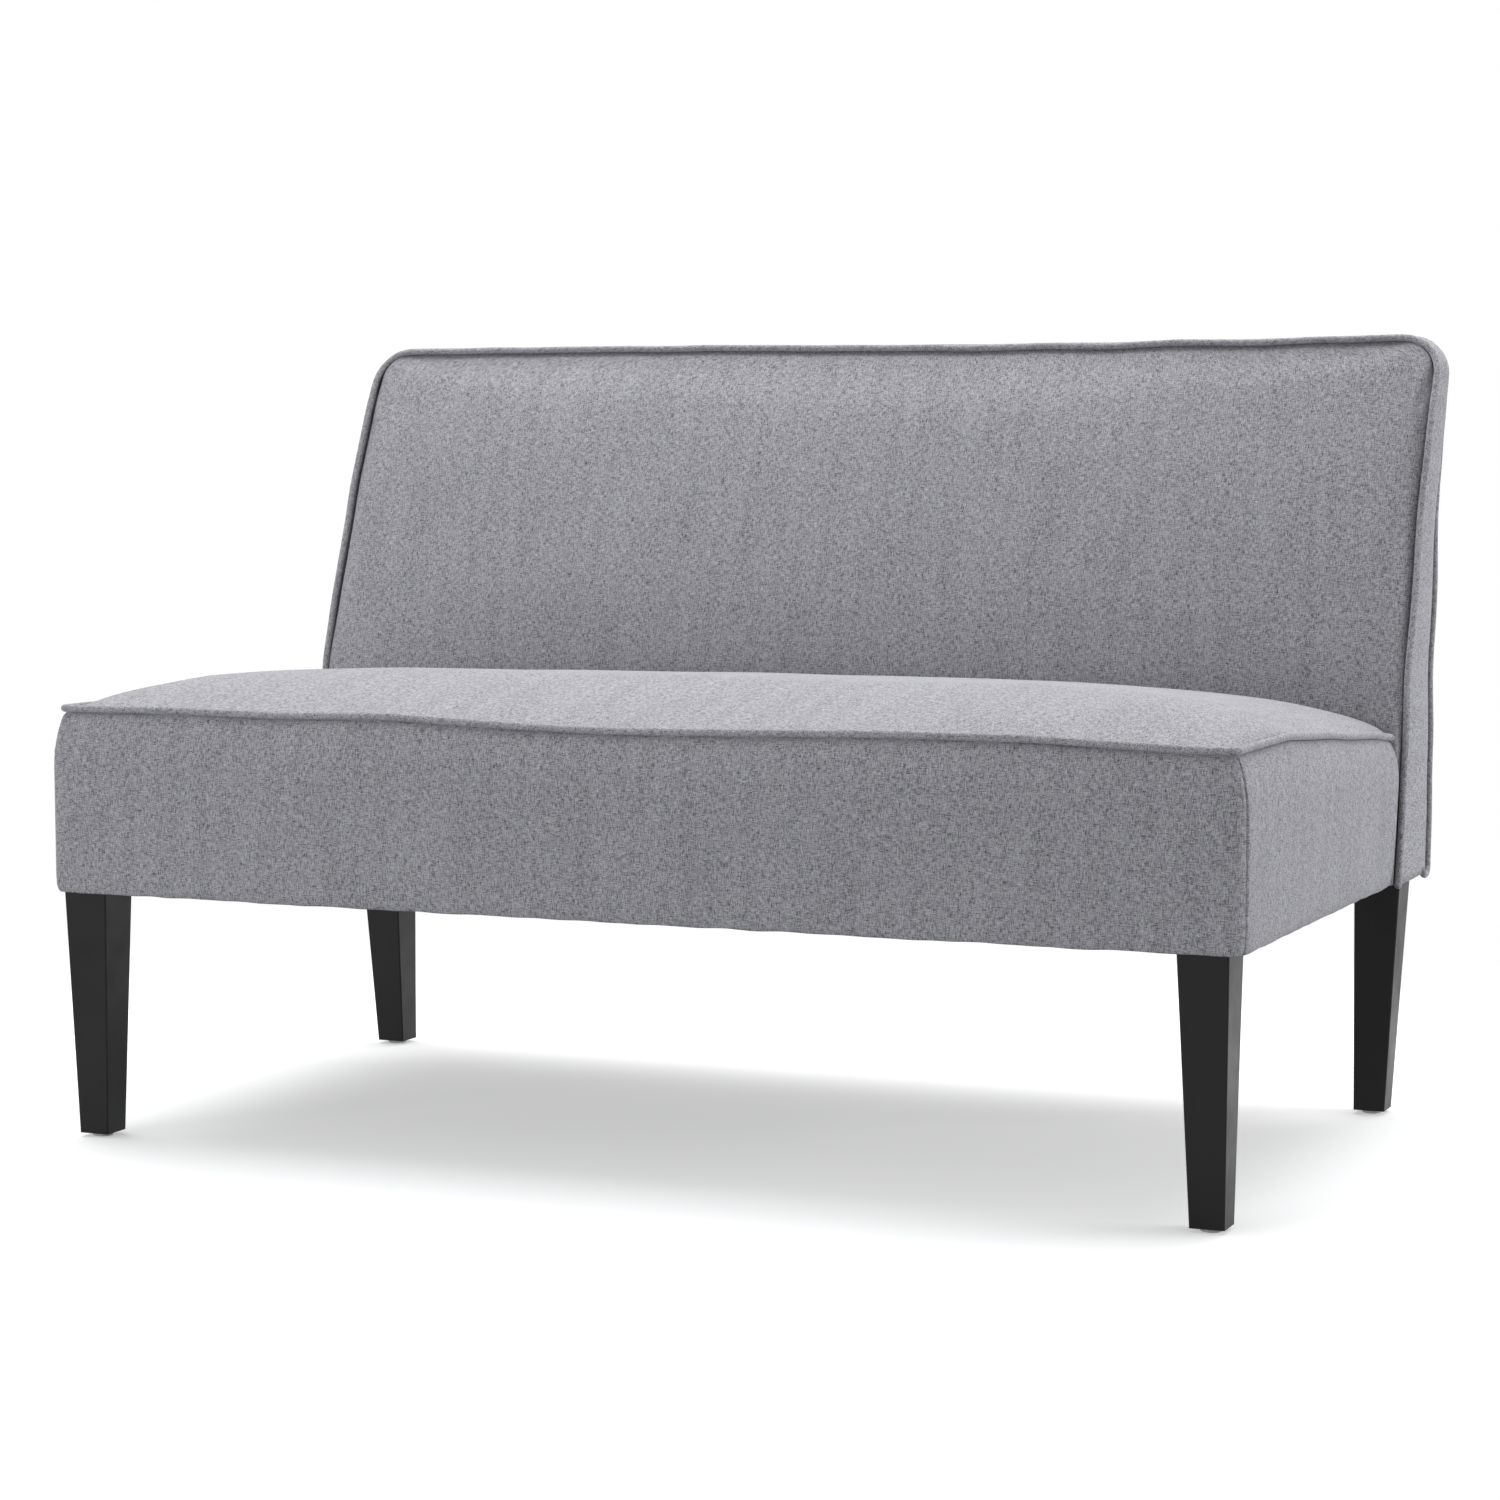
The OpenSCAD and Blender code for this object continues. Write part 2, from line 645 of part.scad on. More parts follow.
// Lining over the seat's rear rail and the end of its foam, cut to the crown
module seat_rear_lining() {
    last_row = seat_rows[len(seat_rows) - 1];
    half_w = seat_x - edge_out;
    color("#3a3a3c") centred() difference() {
        skin([for (k = column_shares) let (z = crown_z(last_row, k) - cloth_t / 2 - 2 * gap) [
            [k * half_w, seat_end_y(frame_z), frame_z], [k * half_w, seat_end_y(frame_z) - cloth_t, frame_z],
            [k * half_w, seat_end_y(z) - cloth_t, z], [k * half_w, seat_end_y(z), z]]]);
        joint_cuts();
    }
}

// Dust covers, stapled over the turned-under cloth
dust_inset = 9;
module bolt_hole() {
    translate([0, 0, underside_h - cut])
        cylinder(r = bolt_r + gap, h = dust_t + 2 * cut);
}
module seat_dust_cover() {
    color("#202022") centred() difference() {
        translate([-seat_x + dust_inset, dust_inset, underside_h])
            cube([2 * (seat_x - dust_inset), seat_end_y(underside_h) - 2 * dust_inset, dust_t]);
        at_legs()
            bolt_hole();
    }
}
module back_dust_cover() {
    front_y = back_face_y(flange_z) + dust_inset;
    color("#202022") centred() difference() {
        translate([-back_x + dust_inset, front_y, underside_h])
            cube([2 * (back_x - dust_inset), seat_d + back_t - dust_inset - front_y, dust_t]);
        at_legs()
            bolt_hole();
    }
}

// Back frame: shaped posts between the sills and the top rail
function post_outline(from, to, face_back) = let (zs = levels(from, to)) between(
    [for (z = zs) frame_face_y(z) + face_back], [for (z = zs) frame_rear_y(z)], zs);
module side_post() {
    color("#c7a878") centred() difference() {
        beam(post_inner_x, post_x, post_outline(frame_z, top_rail_z, 0));
        leg_fixing_cuts();
    }
}
module back_left_post() {
    mirror([1, 0, 0])
        side_post();
}
module back_right_post() {
    side_post();
}
module back_centre_post() {
    color("#c7a878") centred() beam(-board_t / 2, board_t / 2,
        post_outline(frame_z + sill_h, top_rail_z, board_t + gap));
}
module back_top_rail() {
    inset = back_x - post_x;
    round_r = back_corner_r - inset;
    side_z = back_top_z - back_corner_r;
    color("#c7a878") centred() intersection() {
        beam(-post_x, post_x, post_outline(top_rail_z, back_top_z - inset, 0));
        translate([0, seat_d + 2 * back_t, 0])
            rotate([90, 0, 0])
                linear_extrude(2 * back_t)
                    polygon(concat([[-post_x, top_rail_z - cut], [post_x, top_rail_z - cut]],
                        [for (a = [0:15:90]) [post_x - round_r + round_r * cos(a), side_z + round_r * sin(a)]],
                        [for (a = [90:15:180]) [-post_x + round_r + round_r * cos(a), side_z + round_r * sin(a)]]));
    }
}
module back_middle_rail() {
    zs = levels(middle_rail_z, middle_rail_top_z);
    color("#c7a878") centred() beam(-post_inner_x, post_inner_x, between(
        [for (z = zs) frame_face_y(z)], [for (z = zs) frame_face_y(z) + board_t], zs));
}
module back_front_sill() {
    sill_top_z = frame_z + sill_h;
    color("#c7a878") centred() difference() {
        beam(-post_inner_x, post_inner_x, [[frame_face_y(frame_z), frame_z], [sill_rear_y, frame_z],
            [sill_rear_y, sill_top_z], [frame_face_y(sill_top_z), sill_top_z]]);
        joint_cuts();
    }
}
module back_rear_sill() {
    color("#c7a878") centred() difference() {
        translate([-post_inner_x, frame_rear_y(frame_z) - board_t, frame_z])
            cube([2 * post_inner_x, board_t, sill_h]);
        leg_fixing_cuts();
    }
}
module back_leg_blocks() {
    color("#b9986a") centred() on_both_sides() difference() {
        translate([post_inner_x - block_side, sill_rear_y, frame_z])
            cube([block_side, frame_rear_y(frame_z) - board_t - sill_rear_y, leg_block_h]);
        leg_fixing_cuts();
    }
}

// Webbing from the middle rail to the top rail, following the curve of the posts
web_margin = 50;
module back_webbing() {
    zs = levels(middle_rail_z + web_w / 2, top_rail_z + web_w / 2);
    strip = between([for (z = zs) webbing_y(z)], [for (z = zs) webbing_y(z) + web_t], zs);
    span = post_inner_x - web_margin - web_w / 2;
    color("#a39a86") centred() for (x = spaced(-span, span, web_count - 1))
        beam(x - web_w / 2, x + web_w / 2, strip);
}

// Half width and level of the back's outline, a given inset within it: straight sides, rounded top corners
function straight_rows(zs, inset) = [for (z = zs) [z, back_x - inset]];
function corner_rows(inset) = [for (a = [0:22.5:90]) [
    back_top_z - back_corner_r + (back_corner_r - inset) * sin(a),
    back_x - back_corner_r + (back_corner_r - inset) * cos(a)]];
function back_rows(from, inset) = concat(
    straight_rows([for (z = levels(from, back_top_z - back_corner_r)) if (z < back_top_z - back_corner_r) z], inset),
    corner_rows(inset));

// Inside back: its cloth and foam swell forward between the seams above the seat
cover_inset = welt_r + gap;
function side_crown(share) = pow(max(0, 1 - pow(abs(share), 3.2)), 0.6);
function upright_crown(z) = let (v = (z - seat_line_z) / (back_top_z - cover_inset - seat_line_z))
    v <= 0 || v >= 1 ? 0 : pow(sin(180 * pow(v, 0.85)), 0.6);
function swelled_y(z, share) = back_face_y(z) - back_crown * upright_crown(z) * side_crown(share);
function swelled_row(row, off) = [for (k = column_shares) [k * row[1], swelled_y(row[0], k) + off, row[0]]];
module inside_back_cover() {
    color("#8c8c92") centred() difference() {
        skin([for (row = back_rows(flange_z, cover_inset))
            concat(swelled_row(row, cloth_t), reversed(swelled_row(row, 0)))]);
        joint_cuts();
    }
}
module back_foam() {
    color("#e8dfc0") centred() skin([for (row = back_rows(foam_low_z + welt_d, cover_inset))
        concat([for (k = column_shares) [k * row[1], foam_rear_y(row[0]), row[0]]],
            reversed(swelled_row(row, cloth_t + gap)))]);
}

// Stations round the back's outline, from the left lower edge over the top to the right. Each has its
// place and its outward direction
back_side_zs = concat([flange_z, flange_z + welt_d],
    [for (z = levels(flange_z, back_top_z - back_corner_r)) if (z > flange_z) z]);
back_top_steps = 10;
function rim_corner(side, a) = [side * (back_x - back_corner_r) + back_corner_r * cos(a),
    back_top_z - back_corner_r + back_corner_r * sin(a), cos(a), sin(a)];
rim_arc = [for (a = [22.5:22.5:67.5]) rim_corner(1, a)];
rim_top = [for (x = spaced(back_corner_r - back_x, back_x - back_corner_r, back_top_steps)) [x, back_top_z, 0, 1]];
rim = concat([for (z = back_side_zs) [-back_x, z, -1, 0]],
    [for (a = [157.5:-22.5:112.5]) rim_corner(-1, a)],
    rim_top,
    reversed(rim_arc),
    [for (z = reversed(back_side_zs)) [back_x, z, 1, 0]]);

// Boxing band of the back: it swells between the two welts, and its ends turn under the lower edge
band_shares = [0, 0.2, 0.5, 0.8, 1];
function face_slope(z) = (back_face_y(z + close_gap) - back_face_y(z)) / close_gap;
function band_ring(s, swell) = let (
    z = s[1],
    front_y = back_face_y(z) + cloth_t / 2 + (welt_r + gap) * norm([1, face_slope(z)]),
    rear_y = back_rear_y(z) - welt_d - gap) concat(
    [for (k = band_shares) let (out = swell * sin(180 * k))
        [s[0] + s[2] * out, front_y + k * (rear_y - front_y), s[1] + s[3] * out]],
    [for (k = reversed(band_shares)) let (out = swell * sin(180 * k) - cloth_t)
        [s[0] + s[2] * out, front_y + k * (rear_y - front_y), s[1] + s[3] * out]]);
module back_boxing() {
    turn = [[-back_x + flange_w, flange_z, 0, -1], [-back_x, flange_z, -1, -1]];
    back_turn = [[back_x, flange_z, 1, -1], [back_x - flange_w, flange_z, 0, -1]];
    risen = [for (s = rim) if (s[1] > flange_z) s];
    color("#808086") centred() skin([for (s = turn) band_ring(s, 0),
        for (s = risen) band_ring(s, band_swell),
        for (s = back_turn) band_ring(s, 0)]);
}

// Welts of the back, along the seams of the inside back and of the outside back
function rim_tube(y_of) = [for (s = rim) let (z = s[1], y = y_of(z), slope = (y_of(z + close_gap) - y) / close_gap)
    tube_ring([s[0], y, z], unit([s[3], -s[2] * slope, -s[2]]), [s[2], 0, s[3]], welt_r)];
module back_front_welt() {
    color("#74747a") centred() skin(rim_tube(function (z) back_face_y(z) + cloth_t / 2));
}
module back_rear_welt() {
    color("#74747a") centred() skin(rim_tube(function (z) back_rear_y(z) - welt_r));
}

// Outside back: cloth over a thin board, following the rear of the posts
module outside_sheet(from, inset, y_of, thickness) {
    skin([for (row = back_rows(from, inset)) let (z = row[0], x = row[1], y = y_of(z)) [
        [-x, y, z], [x, y, z], [x, y - thickness, z], [-x, y - thickness, z]]]);
}
module outside_back_cover() {
    color("#838389") centred() outside_sheet(flange_z, cover_inset, function (z) outer_panel_y(z), cloth_t);
}
module outside_back_board() {
    color("#8a6b45") centred() outside_sheet(frame_z, cover_inset + back_pad, function (z) board_rear_y(z), lining_board_t);
}

front_left_leg();
front_right_leg();
rear_left_leg();
rear_right_leg();
front_left_glide();
front_right_glide();
rear_left_glide();
rear_right_glide();
hanger_bolts();
leg_plates();
seat_front_rail();
seat_rear_rail();
seat_left_rail();
seat_right_rail();
seat_centre_brace();
seat_corner_blocks();
seat_springs();
spring_clips();
spring_insulator();
seat_foam();
seat_wadding();
seat_top_cover();
seat_front_boxing();
seat_left_boxing();
seat_right_boxing();
seat_welt();
seat_rear_lining();
seat_dust_cover();
back_left_post();
back_right_post();
back_centre_post();
back_top_rail();
back_middle_rail();
back_front_sill();
back_rear_sill();
back_leg_blocks();
back_webbing();
back_foam();
inside_back_cover();
back_boxing();
back_front_welt();
back_rear_welt();
outside_back_board();
outside_back_cover();
back_dust_cover();
joint_bolts();
joint_washers();
joint_nuts();
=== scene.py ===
import math

import bmesh
import bpy
import numpy as np
from mathutils import Matrix, Vector, noise


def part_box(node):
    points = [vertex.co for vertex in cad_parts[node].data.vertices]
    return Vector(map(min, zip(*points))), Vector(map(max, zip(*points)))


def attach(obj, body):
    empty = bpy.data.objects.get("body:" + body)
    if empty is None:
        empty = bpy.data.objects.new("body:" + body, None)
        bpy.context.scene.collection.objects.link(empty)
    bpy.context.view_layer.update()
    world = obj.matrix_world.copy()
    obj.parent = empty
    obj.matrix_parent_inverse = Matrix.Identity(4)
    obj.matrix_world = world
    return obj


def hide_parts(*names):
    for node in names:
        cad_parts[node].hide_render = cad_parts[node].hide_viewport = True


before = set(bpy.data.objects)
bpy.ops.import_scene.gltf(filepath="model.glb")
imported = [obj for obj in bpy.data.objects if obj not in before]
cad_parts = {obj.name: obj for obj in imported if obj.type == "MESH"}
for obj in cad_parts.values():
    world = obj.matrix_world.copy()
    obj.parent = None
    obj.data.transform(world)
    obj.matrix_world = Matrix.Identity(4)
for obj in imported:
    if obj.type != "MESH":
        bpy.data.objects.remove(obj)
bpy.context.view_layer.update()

# Camera. The photograph was taken from the settee's front right, about 0.66 m above the floor, with a
# lens of about 83 mm on a 36 mm sensor, its frame moved a little off the lens's middle
bpy.ops.object.select_all(action="DESELECT")
bpy.ops.object.camera_add(location=(1.3622, -3.1808, 0.6583), rotation=(math.pi / 2 - 0.086, 0, 0.390))
camera = bpy.context.object
camera.name = "camera"
camera.data.sensor_width = 36
camera.data.lens = 82.86
camera.data.shift_x = -0.0413
camera.data.shift_y = 0.0089
bpy.context.scene.camera = camera


# Frame. The rails, posts, sills and blocks are sawn from kiln-dried softwood and left bare. Growth rings
# show as long darker lines along each board, over fine fibres and the faint cross marks of the saw
def colour(code):
    parts = [int(code[i:i + 2], 16) / 255 for i in (1, 3, 5)]
    return [*(p / 12.92 if p <= 0.04045 else ((p + 0.055) / 1.055) ** 2.4 for p in parts), 1]


def plug(tree, node, inputs):
    """Gives each input a value, or a link from a socket or from the first output that a node uses"""
    for key, value in inputs.items():
        if isinstance(value, bpy.types.Node):
            value = next(socket for socket in value.outputs if socket.enabled)
        if isinstance(value, bpy.types.NodeSocket):
            tree.links.new(value, node.inputs[key])
        else:
            node.inputs[key].default_value = value


def add(tree, kind, inputs=None, **settings):
    made = tree.nodes.new("ShaderNode" + kind)
    for key, value in settings.items():
        setattr(made, key, value)
    plug(tree, made, inputs or {})
    return made


def new_finish(name):
    material = bpy.data.materials.new(name)
    material.use_nodes = True
    return material, material.node_tree, material.node_tree.nodes["Principled BSDF"]


def dress(names, material):
    for name in names:
        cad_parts[name].data.materials.clear()
        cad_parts[name].data.materials.append(material)


def sawn_timber(name, along):
    timber, tree, shader = new_finish(name)
    place = add(tree, "TexCoord").outputs["Object"]
    layers = []
    # Growth rings about 4 mm apart, fibres 0.7 mm wide, and saw marks 3 mm apart across the board
    for over, down, detail, twist in ((250, 6, 2, 0.7), (1400, 45, 3, 0), (14, 330, 1, 0)):
        scale = [down if axis == along else over for axis in "xyz"]
        way = add(tree, "Mapping", {"Vector": place, "Scale": scale})
        layers.append(add(tree, "TexNoise",
                          {"Vector": way, "Scale": 1, "Detail": detail, "Distortion": twist}))
    rings, fibres, marks = layers
    lines = add(tree, "Math", {0: fibres, 1: 0.35, 2: rings}, operation="MULTIPLY_ADD")
    woods = add(tree, "ValToRGB", {0: lines})
    steps = woods.color_ramp.elements
    steps[0].position, steps[0].color = 0.45, colour("#b98a55")
    steps[1].position, steps[1].color = 0.8, colour("#e3cb9c")
    steps.new(0.6).color = colour("#d5b581")
    rough = add(tree, "Math", {0: fibres, 1: marks}, operation="ADD")
    relief = add(tree, "Bump", {"Height": rough, "Strength": 0.5, "Distance": 0.0006})
    plug(tree, shader, {"Base Color": woods, "Normal": relief, "Roughness": 0.75})
    return timber


dress(("seat_front_rail", "seat_rear_rail", "seat_corner_blocks", "back_top_rail", "back_middle_rail",
       "back_front_sill", "back_rear_sill", "back_leg_blocks"),
      sawn_timber("sawn softwood, cut lengthwise", "x"))
dress(("seat_left_rail", "seat_right_rail", "seat_centre_brace"),
      sawn_timber("sawn softwood, cut to depth", "y"))
dress(("back_left_post", "back_right_post", "back_centre_post"),
      sawn_timber("sawn softwood, cut upright", "z"))

# Lining board. A sheet of hardboard behind the back: wood fibre pressed to a brown, smooth face that is
# mottled by darker fibre bundles, 2 to 3 mm long
hardboard, tree, shader = new_finish("pressed hardboard")
place = add(tree, "TexCoord").outputs["Object"]
bundles = add(tree, "TexNoise", {"Vector": place, "Scale": 420, "Detail": 5})
browns = add(tree, "Mix", {0: bundles, 6: colour("#5d432a"), 7: colour("#9a7750")}, data_type="RGBA")
relief = add(tree, "Bump", {"Height": bundles, "Strength": 0.2, "Distance": 0.0003})
plug(tree, shader, {"Base Color": browns, "Normal": relief, "Roughness": 0.62})
dress(("outside_back_board",), hardboard)

# Fixings and springs. The bolts, plates and clips are zinc plated, bright with dull patches. The springs are
# bent from drawn steel wire under a thin film of oil, so they are darker, with fine lines along the wire
for name, dark, bright, dull, shiny, nodes in (
        ("zinc-plated steel", "#a3a7ab", "#c9ccd0", 0.45, 0.28,
         ("hanger_bolts", "leg_plates", "spring_clips", "joint_bolts", "joint_washers", "joint_nuts")),
        ("oiled spring steel wire", "#4b4d51", "#77797d", 0.48, 0.34, ("seat_springs",))):
    steel, tree, shader = new_finish(name)
    place = add(tree, "TexCoord").outputs["Object"]
    # Patches are about 11 mm across, and the lines 0.4 mm apart and 6 mm long
    patches = add(tree, "TexNoise", {"Vector": place, "Scale": 90, "Detail": 3})
    fine_way = add(tree, "Mapping", {"Vector": place, "Scale": (2500, 160, 2500)})
    scratches = add(tree, "TexNoise", {"Vector": fine_way, "Scale": 1, "Detail": 2})
    greys = add(tree, "Mix", {0: patches, 6: colour(dark), 7: colour(bright)}, data_type="RGBA")
    gloss = add(tree, "MapRange", {0: patches, 1: 0.35, 2: 0.65, 3: dull, 4: shiny})
    relief = add(tree, "Bump", {"Height": scratches, "Strength": 0.15, "Distance": 0.0001})
    plug(tree, shader, {"Base Color": greys, "Roughness": gloss, "Normal": relief, "Metallic": 1})
    dress(nodes, steel)


# Spring pad. A sheet of needled felt on the springs keeps their wires out of the foam. It dips between them.
# Everything that is sewn is measured in mm from the middle of the seat's front lower edge, as in the part
front_edge = 363.53


def settle(points):
    return (np.asarray(points, float) - [0, front_edge, 0]) / 1000


def rise(value, start, span):
    """0 up to the start, 1 from a span past it, and a straight ramp between them"""
    return np.clip((value - start) / span, 0, 1)


def lay_cloth(piece, laid):
    """Gives a piece the UV map that its weave follows: where each point lies on the flat cloth, in metres"""
    mesh = piece.data
    layer = mesh.uv_layers.get("cloth") or mesh.uv_layers.new(name="cloth")
    corners = np.zeros(len(mesh.loops), dtype=np.int32)
    mesh.loops.foreach_get("vertex_index", corners)
    layer.data.foreach_set("uv", (np.asarray(laid)[corners] / 1000).ravel())
    mesh.uv_layers.active = layer
    mesh.update()


def flat_size(points):
    """Where each point of a grid lies when the cloth is flat, in mm"""
    across = np.linalg.norm(np.diff(points, axis=1), axis=2).mean(axis=0)
    along = np.linalg.norm(np.diff(points, axis=0), axis=2).mean(axis=1)
    u = np.concatenate([[0], np.cumsum(across)])
    v = np.concatenate([[0], np.cumsum(along)])
    return np.stack(np.broadcast_arrays(u[None, :], v[:, None]), axis=2)


def take(piece):
    bpy.ops.object.select_all(action="DESELECT")
    piece.select_set(True)
    bpy.context.view_layer.objects.active = piece


def laid_grid(name, points):
    """A grid through rows of points, and its width and length on the flat cloth, in metres"""
    bpy.ops.object.select_all(action="DESELECT")
    bpy.ops.mesh.primitive_grid_add(x_subdivisions=points.shape[1] - 1, y_subdivisions=points.shape[0] - 1,
                                    size=1)
    piece = bpy.context.object
    piece.name = piece.data.name = name
    piece.data.vertices.foreach_set("co", settle(points).ravel())
    flat = flat_size(points)
    lay_cloth(piece, flat.reshape(-1, 2))
    return piece, tuple(flat[-1, -1] / 1000)


def finish_cloth(piece, material, subdivided=0, thickness=0):
    take(piece)
    if thickness:
        piece.modifiers.new("thickness", "SOLIDIFY").thickness = thickness / 1000
        piece.modifiers["thickness"].offset = -1
        bpy.ops.object.modifier_apply(modifier="thickness")
    if subdivided:
        smoother = piece.modifiers.new("smooth", "SUBSURF")
        smoother.levels = smoother.render_levels = subdivided
        bpy.ops.object.modifier_apply(modifier="smooth")
    bpy.ops.object.shade_smooth()
    piece.data.materials.clear()
    piece.data.materials.append(material)


def stand_in(piece, slot, *nodes):
    """Puts a piece in the place of CAD nodes, on the settee's one body"""
    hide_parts(*nodes)
    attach(piece, "root")


def fibre_web(name, dark, pale, fibre, pitch=0):
    """Felt, wadding or non-woven cloth: tangled fibres of a width in mm, and points bonded a pitch apart"""
    web, tree, shader = new_finish(name)
    place = add(tree, "TexCoord").outputs["Object"]
    tangle = add(tree, "TexNoise", {"Vector": place, "Scale": 500 / fibre, "Detail": 4, "Distortion": 1.5})
    clumps = add(tree, "TexNoise", {"Vector": place, "Scale": 60, "Detail": 2})
    shares = add(tree, "Math", {0: tangle, 1: clumps}, operation="MULTIPLY")
    spread = add(tree, "MapRange", {0: shares, 1: 0.15, 2: 0.36})
    tones = add(tree, "Mix", {0: spread, 6: colour(dark), 7: colour(pale)}, data_type="RGBA")
    raised = tangle
    if pitch:
        bonds = add(tree, "TexVoronoi", {"Vector": place, "Scale": 1000 / pitch, "Randomness": 0})
        raised = add(tree, "Math", {0: bonds, 1: tangle}, operation="ADD")
    relief = add(tree, "Bump", {"Height": raised, "Strength": 0.6, "Distance": 0.0006})
    plug(tree, shader, {"Base Color": tones, "Normal": relief, "Roughness": 0.95, "Sheen Weight": 0.15})
    return web


# Real felt fibres are far finer. They are drawn 1.2 mm wide, to show
felt = fibre_web("needled felt", "#3c3c3e", "#77757a", 1.2)
spring_pitch = 147.9
pad_x, pad_y = np.meshgrid(np.linspace(-578.7, 578.7, 118), np.linspace(31.8, 491.5, 47))
from_wire = np.abs((pad_x / spring_pitch + 0.5) - np.round(pad_x / spring_pitch + 0.5)) * spring_pitch
pad_z = 352 + 12 * (1 - ((pad_y - 261.7) / 243.4) ** 2) - 1.8 * rise(from_wire, 28, 46) ** 1.5
pad, pad_cut = laid_grid("spring_pad", np.stack([pad_x, pad_y, pad_z], axis=2))
finish_cloth(pad, felt, thickness=3)
stand_in(pad, "felt", "spring_insulator")


# Back webbing. Seven straps of woven jute and polypropylene, pulled tight from the middle rail to the top
# rail and stapled there. Each has a herringbone weave and a darker stripe near both its edges
seat_depth = 546
seat_line = 441.1
back_top = 788.5


def lean(degrees):
    """How far a slope moves back in each mm of its height"""
    return math.tan(math.radians(degrees))


def back_face(height):
    """How far the face of the back's frame lies behind the seat's front. It leans 8.5 degrees beside the
    seat, 15.5 degrees over it, and then more and more, to 26 degrees at the top"""
    share = (height - seat_line) / (back_top - seat_line)
    rake = lean(15.5) + (lean(26) - lean(15.5)) * share / 2
    return seat_depth + (height - seat_line) * np.where(height < seat_line, lean(8.5), rake)


def foam_depth(height):
    return np.where(height < seat_line, 20 * rise(height, 349.1, 92),
                    20 - 8 * (height - seat_line) / (back_top - seat_line))


jute, tree, shader = new_finish("woven jute webbing")
# Chevrons of the herringbone are 12 mm wide, and their ribs 2 mm apart
rib_way = add(tree, "Mapping", {"Vector": add(tree, "UVMap", uv_map="cloth"), "Scale": (1000, 1000, 1)})
way = add(tree, "SeparateXYZ", {0: rib_way})
chevron = add(tree, "Math", {0: way.outputs[0], 1: 6}, operation="PINGPONG")
slant = add(tree, "Math", {0: chevron, 1: way.outputs[1]}, operation="ADD")
ribs = add(tree, "Math", {0: slant, 1: 1}, operation="PINGPONG")
hairs = add(tree, "TexNoise", {"Vector": rib_way, "Scale": 1.4, "Detail": 3})
from_middle = add(tree, "Math", {0: way.outputs[0], 1: 25}, operation="SUBTRACT")
from_middle = add(tree, "Math", {0: from_middle}, operation="ABSOLUTE")
stripe = add(tree, "Math", {0: from_middle, 1: 17, 2: 2}, operation="COMPARE")
natural = add(tree, "Mix", {0: hairs, 6: colour("#7d6f55"), 7: colour("#b9ab8b")}, data_type="RGBA")
striped = add(tree, "Mix", {0: stripe, 6: natural, 7: colour("#4a423a")}, data_type="RGBA")
raised = add(tree, "Math", {0: ribs, 1: hairs}, operation="ADD")
relief = add(tree, "Bump", {"Height": raised, "Strength": 0.6, "Distance": 0.0008})
plug(tree, shader, {"Base Color": striped, "Normal": relief, "Roughness": 0.9})


def join(pieces, name):
    take(pieces[0])
    for piece in pieces:
        piece.select_set(True)
    bpy.ops.object.join()
    pieces[0].name = pieces[0].data.name = name
    return pieces[0]


straps = []
half_strap = 25
for middle in np.linspace(-510.5, 510.5, 7):
    across = middle + np.linspace(-half_strap, half_strap, 11)
    strap_x, strap_z = np.meshgrid(across, np.linspace(399.1, 750, 71))
    strap_y = back_face(strap_z) + 2.5 + foam_depth(strap_z)
    strap_y += 0.25 * np.sin(strap_z / 9 + middle) * np.abs((strap_x - middle) / half_strap) ** 3
    strap = laid_grid("strap", np.stack([strap_x, strap_y, strap_z], axis=2))[0]
    finish_cloth(strap, jute, thickness=1.4)
    straps.append(strap)
stand_in(join(straps, "back_straps"), "webbing", "back_webbing")


# Seat wadding. A soft layer of bonded polyester, wrapped round the rails from one rear corner to the other.
# It fills the boxing out and is thinner at the seams
seat_half = 597
flange_height = 246
corner_radius = 14.5
# The seat box is this much wider at its rear than at its front, on each side
widening = 12
front_run = seat_half - corner_radius
arc_run = math.pi / 2 * corner_radius
side_run = seat_depth - corner_radius
rear_at = front_run + arc_run + side_run
seam_at = front_run + 0.8 * arc_run


def hump(value, middle, width):
    """1 in the middle, falling away smoothly on both sides"""
    return np.exp(-((value - middle) / width) ** 2)


def ripples(across, along, width, length, seed):
    across, along = np.broadcast_arrays(np.asarray(across, float), np.asarray(along, float))
    found = [noise.noise(Vector((a / width, b / length, seed)))
             for a, b in zip(across.ravel(), along.ravel())]
    return np.array(found).reshape(across.shape)


def rim_of(grid):
    """What lies round the edge of a grid, in order"""
    return np.concatenate([grid[0, :-1], grid[:-1, -1], grid[-1, :0:-1], grid[:0:-1, 0]])


def sewn_form(name, front, rear, rings, flat):
    """A closed form: a front and a rear grid of points, joined by rings round their rims"""
    rows, columns = front.shape[:2]
    count = rows * columns
    index = np.arange(count).reshape(rows, columns)
    rim = rim_of(index)
    cells = np.stack([index[:-1, :-1], index[:-1, 1:], index[1:, 1:], index[1:, :-1]], axis=-1)
    cells = cells.reshape(-1, 4)
    between = [2 * count + k * len(rim) + np.arange(len(rim)) for k in range(len(rings))]
    loops = [rim, *between, rim + count]
    walls = [np.stack([lower, np.roll(lower, -1), np.roll(upper, -1), upper], axis=-1)
             for upper, lower in zip(loops[:-1], loops[1:])]
    faces = np.concatenate([cells, cells[:, ::-1] + count, *walls])
    points = np.concatenate([front.reshape(-1, 3), rear.reshape(-1, 3), *rings])
    mesh = bpy.data.meshes.new(name)
    mesh.from_pydata(settle(points).tolist(), [], faces.tolist())
    piece = bpy.data.objects.new(name, mesh)
    bpy.context.scene.collection.objects.link(piece)
    flat = flat.reshape(-1, 2)
    lay_cloth(piece, np.concatenate([flat, flat, *[flat[rim] + k for k in range(len(rings))]]))
    return piece, rim


